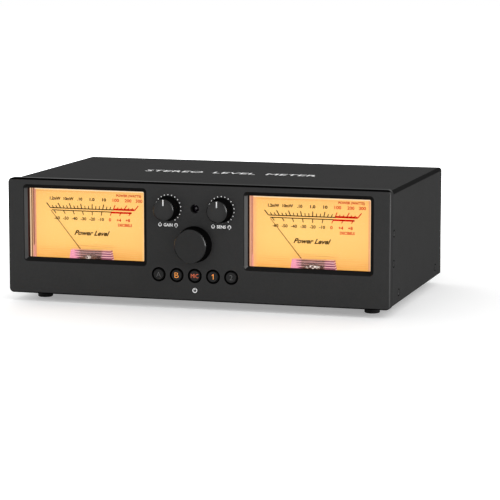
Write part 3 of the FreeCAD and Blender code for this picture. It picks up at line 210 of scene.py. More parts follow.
class Finish(Nodes):
    """A material: a Principled shader and what varies it over the surface."""

    def __init__(self, name, **steady):
        self.material = bpy.data.materials.new(name)
        self.material.use_nodes = True
        super().__init__(self.material.node_tree)
        values = {socket.replace("_", " "): number for socket, number in steady.items()}
        self.principled = self.node("ShaderNodeBsdfPrincipled", None, values)
        self.shader = Value(self, self.principled.outputs[0])
        self.output = self.node("ShaderNodeOutputMaterial", None, {"Surface": self.shader})

    def drive(self, **values):
        """Link what varies to the Principled shader's sockets."""
        for name, value in values.items():
            self.tree.links.new(value.socket, self.principled.inputs[name.replace("_", " ")])

    def show(self, shader):
        """Put another shader, made from the Principled one, on the surface."""
        self.tree.links.new(shader.socket, self.output.inputs["Surface"])

    def place(self):
        return self.value("ShaderNodeTexCoord", output="Object")

    def axes(self):
        """X, Y and Z of the point, in metres."""
        split = self.node("ShaderNodeSeparateXYZ", None, {"Vector": self.place()})
        return [Value(self, socket) for socket in split.outputs]

    def stretched(self, x, y, z):
        """The point with each axis divided, so that a pattern is longer along it."""
        divide = {0: self.place(), 1: (1 / x, 1 / y, 1 / z)}
        return self.value("ShaderNodeVectorMath", {"operation": "MULTIPLY"}, divide)

    def noise(self, size, detail=2.0, stretch=(1, 1, 1)):
        """Cloudy variation from 0 to 1, in patches about one size across."""
        values = {"Vector": self.stretched(*stretch), "Scale": 1 / size, "Detail": detail}
        return self.value("ShaderNodeTexNoise", None, values)

    def cells(self, size):
        """A random grey for each of many cells."""
        values = {"Vector": self.place(), "Scale": 1 / size}
        colour = self.value("ShaderNodeTexVoronoi", None, values, "Color")
        return self.value("ShaderNodeRGBToBW", None, {0: colour})

    def mix(self, share, first, second):
        """A colour between two, by a share from 0 to 1."""
        values = {0: share, 6: first, 7: second}
        return self.value("ShaderNodeMix", {"data_type": "RGBA"}, values, 2)

    def raised(self, height, depth):
        """Relief: depth in metres for a height of 1."""
        return self.value("ShaderNodeBump", None, {"Distance": depth, "Height": height})


# ---- finishes of the case and the controls -------------------------------------------

def powder(name, tone, rough, gloss):
    """Fine-grained black powder coat."""
    finish = Finish(name, Specular_IOR_Level=gloss, Coat_Roughness=0.22)
    grain = finish.noise(0.35 * MM, 3)
    mottle = finish.noise(1.3 * MM, 1)
    cloud = finish.noise(14 * MM)
    finish.drive(Roughness=rough - 0.06 + 0.08 * grain + 0.04 * cloud,
                 Normal=finish.raised(grain, 0.014 * MM))
    varied = 0.4 * grain + 0.35 * mottle + 0.25 * cloud
    return finish, finish.mix(varied, tinted(tone, 0.78), tinted(tone, 1.22))


def panel_finish():
    """Powder coat on the face and edges, smooth black in the windows' bevels and the bores, with
    painted highlights, reflections and shade.
    """
    finish, coat = powder("panel_black", shade(56), 0.7, 0.0)
    x, y, z = finish.axes()
    depth = y - FACE
    across = x - METER_X * x.sign()
    beyond = abs(z - WINDOW_Z).over(GLASS_TALL)
    soft = 0.2 * MM
    window = abs(across).fall(GLASS_HALF + BEVEL, GLASS_HALF + BEVEL + soft)
    window = window * beyond.fall(BEVEL, BEVEL + soft) * depth.rise(0.04 * MM, 0.12 * MM)

    # The left side of each window faces the light: its bevel is painted grey as a painted
    # highlight, lighter in the right window, and the bore behind it brown as a painted reflection.
    bevel_ends = (BEVEL - 0.55 * MM, BEVEL - 0.4 * MM)
    left = (-1 * across - GLASS_HALF - beyond).rise(-0.08 * MM, 0.08 * MM)
    bore = left * window * depth.rise(*bevel_ends)
    left = left * window * depth.fall(*bevel_ends)
    left = left * (z - WINDOW_Z).fall(GLASS_TALL - 0.4 * MM, GLASS_TALL + 0.4 * MM)
    left = left * depth.rise(0.3 * MM, 0.8 * MM)
    to_right = x.rise(-METER_X, METER_X)

    # Painted shade on the rounded edges above and below, a painted highlight along the top, a
    # polished corner.
    crown = z.rise(panel_high.z - 1.3 * MM, panel_high.z - 1.0 * MM)
    shadow = crown + z.fall(FOOT + 0.7 * MM, FOOT + 1.0 * MM)
    ridge = crown * depth.rise(3.4 * MM, 3.8 * MM)
    corner = x.rise(panel_high.x - 0.9 * MM, panel_high.x - 0.6 * MM)
    corner = corner * depth.fall(0.6 * MM, 1.0 * MM)
    face = depth.fall(0.02 * MM, 0.2 * MM)

    # The bore behind each bevel is painted near black: painted shade.
    bevel_tone = finish.mix(depth.rise(BEVEL - 0.2 * MM, BEVEL), shade(31), shade(6))
    tone = finish.mix(window, coat, bevel_tone)
    tone = finish.mix(bore, tone, finish.mix(to_right, shade(66, 38, 32), shade(30, 16, 12)))
    tone = finish.mix(left, tone, finish.mix(to_right, shade(72), shade(87)))
    tone = finish.mix(shadow, tone, shade(6))
    ridge_tone = finish.mix(x.fall(-120 * MM, 60 * MM), shade(84), shade(110))
    finish.drive(Base_Color=finish.mix(ridge, tone, ridge_tone),
                 Coat_Weight=0.1 * face + 0.3 * left + 0.9 * corner)
    return finish


def case_finish():
    """Powder coat with painted shade, darker along the cover's bends."""
    finish, coat = powder("case_black", shade(56), 0.9, 0.01)
    x, _, z = finish.axes()
    # Painted shade along the bends of the cover.
    bend = abs(x).rise(cover_high.x - 2.9 * MM, cover_high.x - 2.2 * MM)
    bend = bend * z.rise(cover_high.z - 2.7 * MM, cover_high.z - 2.0 * MM)
    finish.drive(Base_Color=finish.mix(bend, coat, shade(24)))
    return finish


def side_screw_finish():
    """Flat black heads, painted lighter round the socket as a painted highlight, with painted
    shade at the rim.
    """
    highlight_radius, rim_radius = 1.95, 2.2
    finish = Finish("side_screw_black", Specular_IOR_Level=0.0, Roughness=0.6)
    _, y, z = finish.axes()
    nearest = 100.0
    for back, up in SIDE_SCREWS:
        reach = oval(y - (FACE + back * MM), z - (FOOT + up * MM), MM, MM)
        nearest = reach.maths("MINIMUM", reach, nearest)
    # Painted shade at each head's rim and a painted highlight on the head within it.
    rim = nearest.rise(highlight_radius ** 2, rim_radius ** 2)
    tooth = finish.noise(0.25 * MM, 2)
    head_highlight = finish.mix(tooth, shade(70), shade(84))
    finish.drive(Base_Color=finish.mix(rim, head_highlight, shade(3)),
                 Normal=finish.raised(tooth, 0.006 * MM))
    return finish


def knob_finish(name, knob, centre_highlight):
    """Matt face with a painted highlight in the middle, polished rim, dark sides.

    It fits a knob and its mirror image on the other side of the panel's middle."""
    finish = Finish(name, Specular_IOR_Level=0.0, Coat_Roughness=0.18)
    low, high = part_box(knob)
    x, y, z = finish.axes()
    depth = y - low.y
    half = (high.x - low.x) / 2
    # Painted highlight: the face is painted lighter towards its middle.
    middle = oval(abs(x) - abs(low.x + half), z - (low.z + high.z) / 2, half, half).fall(0.0, 0.8)
    tooth = finish.noise(0.25 * MM, 2)
    cloud = finish.noise(5 * MM)
    face = finish.mix(0.4 * tooth + 0.6 * cloud, shade(52), shade(59))
    face = finish.mix(centre_highlight * middle, face, shade(84))
    rim = depth.band(0.06 * MM, 0.72 * MM, 0.04 * MM)
    sides = depth.rise(0.68 * MM, 0.76 * MM)
    tone = finish.mix(rim, face, shade(16))
    finish.drive(Base_Color=finish.mix(sides, tone, finish.mix(tooth, shade(9), shade(14))),
                 Roughness=0.5 + 0.1 * tooth, Coat_Weight=0.6 * rim,
                 Normal=finish.raised(tooth, 0.005 * MM))
    return finish


def button_finish(name):
    """A soft black cap with painted shade on its rounded edge."""
    finish = Finish("button_" + name + "_black", Specular_IOR_Level=0.06)
    low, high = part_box("button_" + name)
    x, _, z = finish.axes()
    across = x - (low.x + high.x) / 2
    reach = oval(across, z - (low.z + high.z) / 2, CAP_RADIUS, CAP_RADIUS)
    tooth = finish.noise(0.25 * MM, 2)
    cloud = finish.noise(4 * MM)
    face = finish.mix(0.5 * tooth + 0.5 * cloud, shade(43), shade(50))
    # Painted shade: the cap's rounded edge is painted near black.
    finish.drive(Base_Color=finish.mix(reach.rise(0.74, 0.84), face, shade(5)),
                 Roughness=0.4 + 0.1 * tooth,
                 Normal=finish.raised(tooth, 0.006 * MM))
    return finish


# ---- plain finishes, used for many parts ---------------------------------------------

def satin(name, tone, rough=0.42, **steady):
    """Moulded or painted parts with a slight tooth."""
    finish = Finish(name, **steady)
    tooth = finish.noise(0.25 * MM, 2)
    cloud = finish.noise(9 * MM)
    varied = 0.5 * tooth + 0.5 * cloud
    finish.drive(Base_Color=finish.mix(varied, tinted(tone, 0.85), tinted(tone, 1.15)),
                 Roughness=rough - 0.05 + 0.1 * tooth,
                 Normal=finish.raised(tooth, 0.006 * MM))
    return finish


def metal(name, tone, rough=0.3):
    """Worked metal, its tool marks drawn out from front to back."""
    finish = Finish(name, Metallic=1.0)
    marks = finish.noise(0.5 * MM, 3, (1, 12, 1))
    cloud = finish.noise(6 * MM)
    finish.drive(Base_Color=finish.mix(marks, tinted(tone, 0.82), tone),
                 Roughness=rough - 0.08 + 0.14 * marks + 0.06 * cloud,
                 Normal=finish.raised(marks, 0.004 * MM))
    return finish


def coil_finish():
    """Enamelled copper wire, wound in rows."""
    finish = Finish("coil_copper", Metallic=0.9)
    turns = finish.axes()[0].wave(0.16 * MM)
    tone = finish.mix(turns.rise(-1, 1), shade(120, 56, 24), shade(198, 112, 58))
    finish.drive(Base_Color=tone, Roughness=0.3 + 0.1 * turns,
                 Normal=finish.raised(turns, 0.02 * MM))
    return finish


def circuit_board(name):
    """Green solder mask over copper tracks, with tinned pads."""
    finish = Finish(name, Specular_IOR_Level=0.5)
    tracks = finish.value("ShaderNodeTexBrick", {"offset": 0.37, "squash": 1.6}, {
        "Vector": finish.stretched(1, 1, 1), "Scale": 160.0, "Mortar Size": 0.012,
        "Color1": shade(10, 72, 44), "Color2": shade(12, 82, 50), "Mortar": shade(24, 110, 66)})
    pads = finish.cells(2.4 * MM).rise(0.83, 0.85)
    finish.drive(Base_Color=finish.mix(pads, tracks, shade(190, 186, 170)),
                 Roughness=0.38 + 0.2 * finish.noise(0.6 * MM),
                 Metallic=0.8 * pads,
                 Normal=finish.raised(pads, 0.03 * MM))
    return finish


def rubber(name):
    """Dull dark rubber."""
    finish = Finish(name, Specular_IOR_Level=0.3)
    grain = finish.noise(0.5 * MM, 4)
    finish.drive(Base_Color=finish.mix(grain, shade(20), shade(34)),
                 Roughness=0.75 + 0.15 * grain,
                 Normal=finish.raised(grain, 0.03 * MM))
    return finish


def clear_pane(name):
    """Thin clear plastic with the least dust on it, which casts no shadow on what is behind."""
    finish = Finish(name, Transmission_Weight=1.0, IOR=1.08, Roughness=0.0)
    dust = finish.noise(6 * MM, 3)
    finish.drive(Base_Color=finish.mix(dust, shade(254), shade(255)))
    shadow = finish.value("ShaderNodeLightPath", output="Is Shadow Ray")
    open_way = finish.value("ShaderNodeBsdfTransparent")
    ways = {0: shadow, 1: finish.shader, 2: open_way}
    finish.show(finish.value("ShaderNodeMixShader", None, ways))
    return finish


def ink(name, tone, glow=0.0):
    """Screen-printed ink, or a lit legend when it glows."""
    finish = Finish(name, Roughness=0.5, Specular_IOR_Level=0.0, Emission_Strength=glow)
    body = finish.noise(0.2 * MM)
    colour = finish.mix(body, tinted(tone, 0.92), tone)
    finish.drive(Base_Color=colour, Normal=finish.raised(body, 0.004 * MM))
    if glow:
        finish.drive(Emission_Color=colour)
    return finish


# ---- finishes of the meters ----------------------------------------------------------

# Where painted light along the dial's far edge begins, and in which tone.
DIAL_END = {"left": 42.6, "right": 43.8}
END_TONE = {"left": shade(254, 203, 130), "right": shade(216, 150, 116)}

# The band of rosy light along the dial's near edge: its ends, its tone and how strong it is.
START = {"left": (-45.6, -45.3), "right": (-46.2, -42.8)}
START_TONE = {"left": shade(208, 138, 124), "right": shade(250, 180, 132)}
START_SHARE = {"left": 1.0, "right": 0.8}

# Light on the housing's walls, by depth behind the panel's face as a share of WALL_DEPTH.
WALL_DEPTH = 20 * MM
WALL_BANDS = {
    "left": (
        (0.333, shade(66, 40, 34)), (0.340, shade(248, 212, 176)),
        (0.455, shade(246, 208, 170)), (0.475, shade(110, 60, 24)),
        (0.560, shade(110, 60, 24)), (0.580, shade(230, 180, 144)),
        (0.640, shade(230, 178, 144)), (0.660, shade(128, 72, 48)),
        (0.740, shade(128, 72, 50)), (0.760, shade(210, 140, 126))),
    "right": (
        (0.333, shade(40, 24, 18)), (0.340, shade(234, 172, 138)),
        (0.480, shade(228, 162, 134)), (0.560, shade(214, 142, 124)),
        (0.640, shade(202, 124, 108)), (0.740, shade(204, 128, 110)),
        (0.795, shade(244, 176, 130)))}

# The painted glint on each movement cover: its middle and how far it reaches to each side.
GLINT = {"left": (-1.8, 2.6), "right": (0.0, 6.0)}


def dial_glow(side):
    """Printed plate lit from behind, deeper in colour and streaked near the bottom."""
    finish = Finish(side + "_dial_glow", Roughness=0.6, Specular_IOR_Level=0.0,
                    Emission_Strength=0.77)
    x, _, z = finish.axes()
    up = (z - FOOT) / MM
    across = (x - METER[side]) / MM
    glow = (up / 100).ramp(
        (0.26, shade(249, 180, 92)), (0.31, shade(252, 192, 108)), (0.38, shade(254, 198, 114)),
        (0.50, shade(254, 203, 120)), (0.76, shade(254, 199, 116)))
    ripple = (up + 0.5 * finish.noise(30 * MM, 1)).wave(1.55).rise(-0.2, 0.9)
    patchy = finish.noise(11 * MM, 2, (2, 1, 0.4)).rise(0.25, 0.6)
    streaks = 0.6 * ripple * patchy * up.fall(32, 37)
    lit = finish.mix(streaks, glow, shade(232, 148, 62))
    # Painted shade: a darker wavy band just above the movement cover.
    drift = (up + 3.2 * finish.noise(9 * MM, 2, (3, 1, 1))).wave(1.6).rise(-0.2, 0.8)
    painted_shade_band = up.band(34.0, 37.2, 0.7) * abs(across - 2).fall(11, 22)
    lit = finish.mix(0.6 * painted_shade_band * drift, lit, shade(180, 132, 66))
    # Painted light along the far edge and the top edge, a painted darker line under the top, and
    # painted rosy light along the near edge.
    end = DIAL_END[side]
    far_band = 0.85 * across.rise(end - 2.2, end - 1.8)
    lit = finish.mix(far_band, lit, END_TONE[side])
    far_edge = across.rise(end - 0.9, end - 0.6)
    lit = finish.mix(far_edge, lit, shade(255, 218, 180))
    top_line = up.band(77.2, 77.7, 0.15) * across.fall(-10, 60)
    lit = finish.mix(0.75 * top_line, lit, shade(222, 152, 84))
    near_band = START_SHARE[side] * across.fall(*START[side])
    lit = finish.mix(near_band, lit, START_TONE[side])
    top_edge = up.rise(78.3, 78.7)
    lit = finish.mix(top_edge, lit, shade(255, 236, 200))
    paper = finish.noise(0.3 * MM)
    finish.drive(Emission_Color=lit,
                 Base_Color=finish.mix(paper, shade(150, 112, 60), shade(160, 120, 66)),
                 Normal=finish.raised(paper, 0.004 * MM))
    return finish


def housing_finish(side):
    """White box; inside, light from the dial's edge lies on its walls in upright bands."""
    finish = Finish(side + "_housing_white", Roughness=0.5, Emission_Strength=0.8)
    x, y, z = finish.axes()
    depth = (y - FACE) / WALL_DEPTH
    bands = depth.ramp(*WALL_BANDS[side])
    low_end = z.fall(FOOT + 34 * MM, FOOT + 37 * MM) * depth.rise(0.6, 0.66)
    bands = finish.mix(0.8 * low_end, bands, shade(255, 168, 156))
    # Inside the meter the white walls are painted dark, as painted shade, and show only the
    # painted bands of light.
    inside = abs(x - METER[side]).fall(47.4 * MM, 47.7 * MM)
    inside = inside * z.fall(housing_high.z - 1.0 * MM, housing_high.z - 0.7 * MM)
    inside = inside * y.fall(dial_high.y, dial_high.y + 0.3 * MM)
    grain = finish.noise(0.4 * MM)
    white = finish.mix(grain, shade(206, 200, 190), shade(216, 210, 200))
    finish.drive(Base_Color=finish.mix(inside, white, shade(30, 20, 16)),
                 Emission_Color=finish.mix(inside, shade(0), bands),
                 Normal=finish.raised(grain, 0.006 * MM))
    return finish


def shell_finish(side):
    """Clear rose plastic that glows with painted light: pink at one end, dark ribs at the other,
    the magnet's brown between.
    """
    finish = Finish(side + "_shell_clear", Roughness=0.25, Emission_Strength=0.86)
    x, _, z = finish.axes()
    low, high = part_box(side + "_movement_cover")
    across = (x - (low.x + high.x) / 2) / MM
    up = (z - FOOT) / MM
    flow = finish.noise(2.6 * MM, 3, (3.2, 1, 0.8))
    speck = finish.noise(0.9 * MM, 3, (1.6, 1, 1))
    rib = (up - 32.7).wave(1.8)
    bars = (rib + 0.8 * (flow - 0.5)).rise(-0.75, 0.15)
    wavy = (rib + 3.4 * (flow - 0.5)).rise(-0.8, 0.3)
    ends = finish.mix(bars, shade(248, 184, 186), shade(132, 58, 88))
    middle = finish.mix(wavy, shade(186, 132, 120), shade(86, 50, 48))
    lit = finish.mix(across.band(-9.0, 9.2, 1.0), ends, middle)
    patch = bars * across.rise(-13.6, -11.6) * up.rise(27.5, 30.5)
    pink = finish.mix(0.7 * patch, shade(252, 160, 184), shade(140, 66, 92))
    near_end = across.fall(-12.6, -9.2)
    lit = finish.mix(near_end, lit, pink)
    dome = oval(across - 0.6, up - 24.8, 9.6, 6.6).fall(0.8, 1.0)
    brown = finish.mix(speck.rise(0.4, 0.62), shade(66, 40, 32), shade(136, 100, 76))
    lit = finish.mix(0.92 * dome, lit, brown)
    lobe = oval(across - 6.6, up - 28.0, 1.8, 2.2).fall(0.7, 1.1)
    lit = finish.mix(0.8 * lobe, lit, shade(58, 34, 24))
    # Painted glint on the cover.
    glint_middle, glint_wide = GLINT[side]
    gleam = oval(across - glint_middle, up - 28.5, glint_wide, 1.3)
    gleam = gleam.fall(0.6, 1.1) * speck.rise(0.48, 0.56)
    lit = finish.mix(gleam, lit, shade(255, 244, 232))
    lid = up.rise(33.4, 33.8)
    lit = finish.mix(0.6 * lid, lit, shade(214, 150, 100))
    finish.drive(Emission_Color=lit, Alpha=0.88 + 0.1 * bars,
                 Base_Color=finish.mix(bars, shade(84, 50, 54), shade(50, 28, 28)))
    return finish


def lamp_finish():
    """White board with a row of lit lamps."""
    finish = Finish("lamp_board", Roughness=0.5, Emission_Strength=1.0)
    _, y, _ = finish.axes()
    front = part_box("right_backlight")[0].y
    lamps = y.fall(front + 1.3 * MM, front + 1.5 * MM)
    grain = finish.noise(0.4 * MM)
    finish.drive(Base_Color=finish.mix(grain, shade(214, 212, 202), shade(226, 224, 214)),
                 Emission_Color=finish.mix(lamps, shade(0), shade(255, 214, 140)))
    return finish


# ---- every part's finish -------------------------------------------------------------

def dress(finish, *nodes):
    """Give CAD nodes a finish."""
    for name in nodes:
        mesh = frame["nodes"][name].data
        mesh.materials.clear()
        mesh.materials.append(finish.material)


dress(panel_finish(), "front_panel")
dress(case_finish(), "top_cover", "bottom_chassis", "rear_panel")
dress(metal("bar_aluminium", shade(190)), "side_bars")
dress(side_screw_finish(), "cover_screws")
dress(satin("screw_black", shade(34), 0.6, Specular_IOR_Level=0.04),
      "panel_screws", "chassis_screws", "foot_screws")
dress(metal("screw_steel", shade(205), 0.22),
      "movement_screws", "jewel_screws", "control_nuts", "board_spacers")
dress(rubber("foot_rubber"), "feet")
dress(clear_pane("lens_clear"), "left_lens", "right_lens")
dress(lamp_finish(), "left_backlight", "right_backlight")
for side in SIDES:
    dress(dial_glow(side), side + "_dial_plate")
    dress(housing_finish(side), side + "_housing")
    dress(shell_finish(side), side + "_movement_cover")
dress(metal("bridge_metal", shade(176), 0.4), "left_bridges", "right_bridges")
dress(satin("yoke_iron", shade(84, 58, 44), 0.45, Metallic=0.6), "yoke_rings")
dress(metal("core_steel", shade(186)), "core_magnets")
dress(coil_finish(), "left_coil", "right_coil")
dress(satin("needle_brown", shade(112, 74, 30), 0.5, Specular_IOR_Level=0.0),
      "left_needle", "right_needle")
dress(metal("arm_brass", shade(206, 164, 92), 0.32), "left_zero_arm", "right_zero_arm")
dress(metal("spring_bronze", shade(196, 140, 84)), "hairsprings")
dress(knob_finish("selector_knob_black", "main_knob", 0.0), "main_knob")
dress(knob_finish("level_knob_black", "gain_knob", 0.2), "gain_knob", "sens_knob")
dress(metal("shaft_metal", shade(196), 0.28), "encoder_shaft", "gain_shaft", "sens_shaft")
dress(metal("control_can", shade(176), 0.35), "encoder_body", "gain_pot", "sens_pot")
for button in BUTTONS:
    dress(button_finish(button), "button_" + button)
dress(satin("bezel_black", shade(4), 0.3, Specular_IOR_Level=0.0), "button_bezels")
dress(satin("switch_black", shade(40), 0.5), "tact_switches", "relays")
dress(satin("receiver_black", shade(26, 20, 28), 0.12), "ir_receiver")
dress(metal("capsule_metal", shade(180), 0.35), "mic_capsule")
dress(circuit_board("board_green"), "front_board", "main_board")
dress(metal("socket_gold", shade(222, 184, 106), 0.22), "phono_shells")
dress(satin("insulator_white", shade(224, 222, 214), 0.3), "white_insulators")
dress(satin("insulator_red", shade(176, 26, 24), 0.3), "red_insulators")
dress(satin("inlet_black", shade(26), 0.35), "power_socket")

# The white ink glows a little: painted light, since the print is no lamp.
WHITE_INK = ink("white_ink", shade(250), 0.2)
GREY_INK = ink("grey_ink", shade(104))
DIAL_INK = ink("dial_ink", shade(16, 9, 3))
RED_INK = ink("dial_red", shade(208, 26, 12), 0.1)
LIT_ORANGE = ink("lit_orange", shade(255, 164, 80), 0.75)
LIT_RED = ink("lit_red", shade(220, 110, 76), 0.48)


# ---- printed pieces ------------------------------------------------------------------

INK = 0.04 * MM
FRONT = Matrix.Rotation(math.radians(90), 4, "X")
BACK = Matrix.Rotation(math.radians(180), 4, "Z") @ FRONT
TOP = Matrix.Identity(4)


class Print:
    """Ink on one flat face, built up from words, bars, dots and arcs, as one piece.

    Places on it are right and up, in millimetres from its middle."""

    def __init__(self, middle, facing):
        self.shape = bmesh.new()
        self.stand = Matrix.Translation(middle) @ facing

    def put(self, verts, right, up, turn=0.0):
        spot = Matrix.Translation((right * MM, up * MM, 0)) @ Matrix.Rotation(turn, 4, "Z")
        bmesh.ops.transform(self.shape, matrix=self.stand @ spot, verts=verts)

    def words(self, text, right, up, high, wide=None, slant=0.0, weight=0.0):
        """Lettering of a given height, and width if given, about its own middle."""
        curve = bpy.data.curves.new("words", "FONT")
        curve.body = text
        curve.shear = slant
        curve.offset = weight
        curve.extrude = 0.5
        curve.resolution_u = 3
        holder = bpy.data.objects.new("words", curve)
        mesh = bpy.data.meshes.new_from_object(holder)
        corners = [vert.co for vert in mesh.vertices]
        least = Vector(min(corner[axis] for corner in corners) for axis in range(3))
        most = Vector(max(corner[axis] for corner in corners) for axis in range(3))
        size = most - least
        tall = high * MM / size.y
        broad = wide * MM / size.x if wide else tall
        centre = (least + most) / 2
        mesh.transform(Matrix.Diagonal((broad, tall, INK, 1)) @ Matrix.Translation(-centre))
        before = set(self.shape.verts)
        self.shape.from_mesh(mesh)
        self.put([vert for vert in self.shape.verts if vert not in before], right, up)
        bpy.data.objects.remove(holder)
        bpy.data.curves.remove(curve)
        bpy.data.meshes.remove(mesh)

    def bar(self, start, end, wide):
        """A line from one point to another, each right and up."""
        run = Vector(end) - Vector(start)
        middle = (Vector(end) + Vector(start)) / 2
        made = bmesh.ops.create_cube(self.shape, size=1)["verts"]
        size = Matrix.Diagonal((run.length * MM, wide * MM, INK, 1))
        bmesh.ops.transform(self.shape, matrix=size, verts=made)
        self.put(made, *middle, math.atan2(run.y, run.x))

    def dot(self, right, up, radius):
        made = bmesh.ops.create_cone(self.shape, cap_ends=True, segments=16, depth=INK,
                                     radius1=radius * MM, radius2=radius * MM)["verts"]
        self.put(made, right, up)

    def arc(self, right, up, radius, wide, start, sweep):
        """Part of a ring, from one angle over a sweep, in degrees from the right."""
        before = set(self.shape.verts)
        made = bmesh.ops.create_cube(self.shape, size=1)["verts"]
        sliver = Matrix.Diagonal((wide * MM, 1e-6, INK, 1))
        out = Matrix.Translation((radius * MM, 0, 0))
        turn = Matrix.Rotation(math.radians(start), 4, "Z")
        bmesh.ops.transform(self.shape, matrix=turn @ out @ sliver, verts=made)
        faces = [face for vert in made for face in vert.link_faces]
        end = max(faces, key=lambda face: face.calc_area())
        bmesh.ops.spin(self.shape, geom=[end, *end.edges, *end.verts], cent=(0, 0, 0),
                       axis=(0, 0, 1), angle=math.radians(sweep),
                       steps=max(6, round(sweep / 12)))
        self.order_faces()
        self.put([vert for vert in self.shape.verts if vert not in before], right, up)

    def order_faces(self):
        """Sort the faces by their corners, because spin makes them in a new order each run."""
        def corners(face):
            return sorted(vert.index for vert in face.verts)

        self.shape.verts.index_update()
        for index, face in enumerate(sorted(self.shape.faces, key=corners)):
            face.index = index
        self.shape.faces.sort()

    def finish(self, name, body, finish):
        """Turn the print into a piece that rides on a body."""
        bmesh.ops.recalc_face_normals(self.shape, faces=self.shape.faces)
        mesh = bpy.data.meshes.new(name)
        self.shape.to_mesh(mesh)
        self.shape.free()
        mesh.materials.append(finish.material)
        piece = bpy.data.objects.new(name, mesh)
        bpy.context.scene.collection.objects.link(piece)
        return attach(piece, body)


# Each dial: the needle's pivot, the double line and where it turns red, the pitch of the ticks
# and of the decibel numbers, and how far the whole print sits from the plate's middle. Each
# row of WATTS is a number's place, its width and the number.
PIVOT_UP = 22.6
WATT_LINE_UP = 64.5
WATT_RED = 17.2
WATT_PITCH = 8.55
DECIBEL_LINE_UP = 62.8
DECIBEL_RED = 15.7
DECIBEL_PITCH = 7.85
NUMBER_PITCH = 7.2
NUMBER_HIGH = 2.5
LAST_STEP = 4
PRINT_AT = {"left": (0.35, 0.0), "right": (-0.75, 0.75)}
WATTS = ((-30.2, 8.8, "1.2mW"), (-19.2, 8.2, "10mW"), (-10.0, 4.1, ".10"), (0.0, 4.1, "1.0"),
         (9.7, 3.3, "10"), (19.2, 5.2, "100"), (29.1, 5.4, "200"), (37.9, 5.4, "300"))
DECIBELS = ("-60", "-50", "-40", "-30", "-20", "-10", "0", "+4", "+8")


def radial(across, up, length):
    """A tick's two ends: it starts at a point and runs away from the needle's pivot."""
    start = Vector((across, up))
    away = Vector((across, up - PIVOT_UP)).normalized()
    return start, start + away * length


def scale_print(side):
    """The two scales of a dial: watts above the double line, decibels below it."""
    right, up = PRINT_AT[side]
    surface = Vector((METER[side] + right * MM, dial_low.y, FOOT + up * MM))
    black = Print(surface, FRONT)
    red = Print(surface, FRONT)
    black.bar((-34.2, WATT_LINE_UP), (WATT_RED, WATT_LINE_UP), 0.75)
    black.bar((-32.8, DECIBEL_LINE_UP), (DECIBEL_RED, DECIBEL_LINE_UP), 0.7)
    red.bar((WATT_RED, WATT_LINE_UP + 0.4), (34.2, WATT_LINE_UP + 0.4), 1.5)
    red.bar((DECIBEL_RED, DECIBEL_LINE_UP - 0.3), (32.0, DECIBEL_LINE_UP - 0.3), 1.4)
    for step in range(-LAST_STEP, LAST_STEP + 1):
        colour = red if step > 1 else black
        across = step * WATT_PITCH
        lean = math.cos(math.atan2(across, WATT_LINE_UP - PIVOT_UP))
        colour.bar(*radial(across, WATT_LINE_UP, 3.8 / lean), 0.75)
        if step < LAST_STEP:
            for part in (1, 2):
                across = (step + part / 3) * WATT_PITCH
                minor = red if across > WATT_RED else black
                minor.bar(*radial(across, WATT_LINE_UP, 2.4), 0.65)
        colour.bar(*radial(step * DECIBEL_PITCH, DECIBEL_LINE_UP, -3.0), 0.65)
    for across, wide, label in WATTS:
        colour, weight = (red, 0.025) if across > WATT_RED else (black, 0.045)
        colour.words(label, across, 71.9, NUMBER_HIGH, wide, weight=weight)
    for step, label in enumerate(DECIBELS, -LAST_STEP):
        colour = red if step > 1 else black
        wide = 1.9 if label == "0" else 3.6 if step > 2 else 4.6
        colour.words(label, step * NUMBER_PITCH, 56.8, NUMBER_HIGH, wide, weight=0.03)
    red.words("POWER (WATTS)", 29.6, 75.3, NUMBER_HIGH, 20, weight=0.035)
    red.words("DECIBELS", 26.5, 53.0, 2.2, 11.3, weight=0.035)
    black.words("Power Level", -0.3, 46.0, 3.9, 29.0, slant=0.45, weight=0.03)
    black.finish(side + "_scale_print", "case", DIAL_INK)
    red.finish(side + "_scale_red_print", "case", RED_INK)


def turn_mark(marks, right, up, opening, tip):
    """A ring with a gap on one side and a dot there: turn this way."""
    marks.arc(right, up, 1.1, 0.58, opening + 40, 280)
    marks.dot(right, up + tip, 0.4)


def panel_print():
    """White marks on the panel: knob scales, names and the source ring."""
    marks = Print(Vector((0, FACE, FOOT)), FRONT)
    steps, half_turn, name_up = 18, 147, 57
    ring_wide, ring_tall = 10.05, 10.25
    for name, middle in LEVEL_KNOBS.items():
        for step in range(steps + 1):
            angle = math.radians(-half_turn + step * 2 * half_turn / steps)
            marks.dot(middle + ring_wide * math.sin(angle),
                      LEVEL_KNOB_UP + ring_tall * math.cos(angle), 0.4)
        marks.words(name.upper(), middle, name_up, 2.4, 7.0, weight=0.03)
        turn_mark(marks, middle - 6.4, name_up, 90, 1.35)
        turn_mark(marks, middle + 6.3, name_up, 270, -1.5)
    marks.arc(0, 8.2, 1.55, 0.6, 120, 300)
    marks.bar((0, 8.5), (0, 10.1), 0.6)
    marks.finish("panel_lettering", "case", WHITE_INK)


def knob_pointers():
    """White paint in the small knobs' grooves."""
    for name, middle in LEVEL_KNOBS.items():
        knob_low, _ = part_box(name + "_knob")
        paint = Print(Vector((0, knob_low.y + 0.28 * MM, FOOT)), FRONT)
        paint.bar((middle, LEVEL_KNOB_UP + 3.05), (middle, LEVEL_KNOB_UP + 7.6), 0.96)
        paint.finish(name + "_pointer_paint", BODY[name + "_knob"], WHITE_INK)


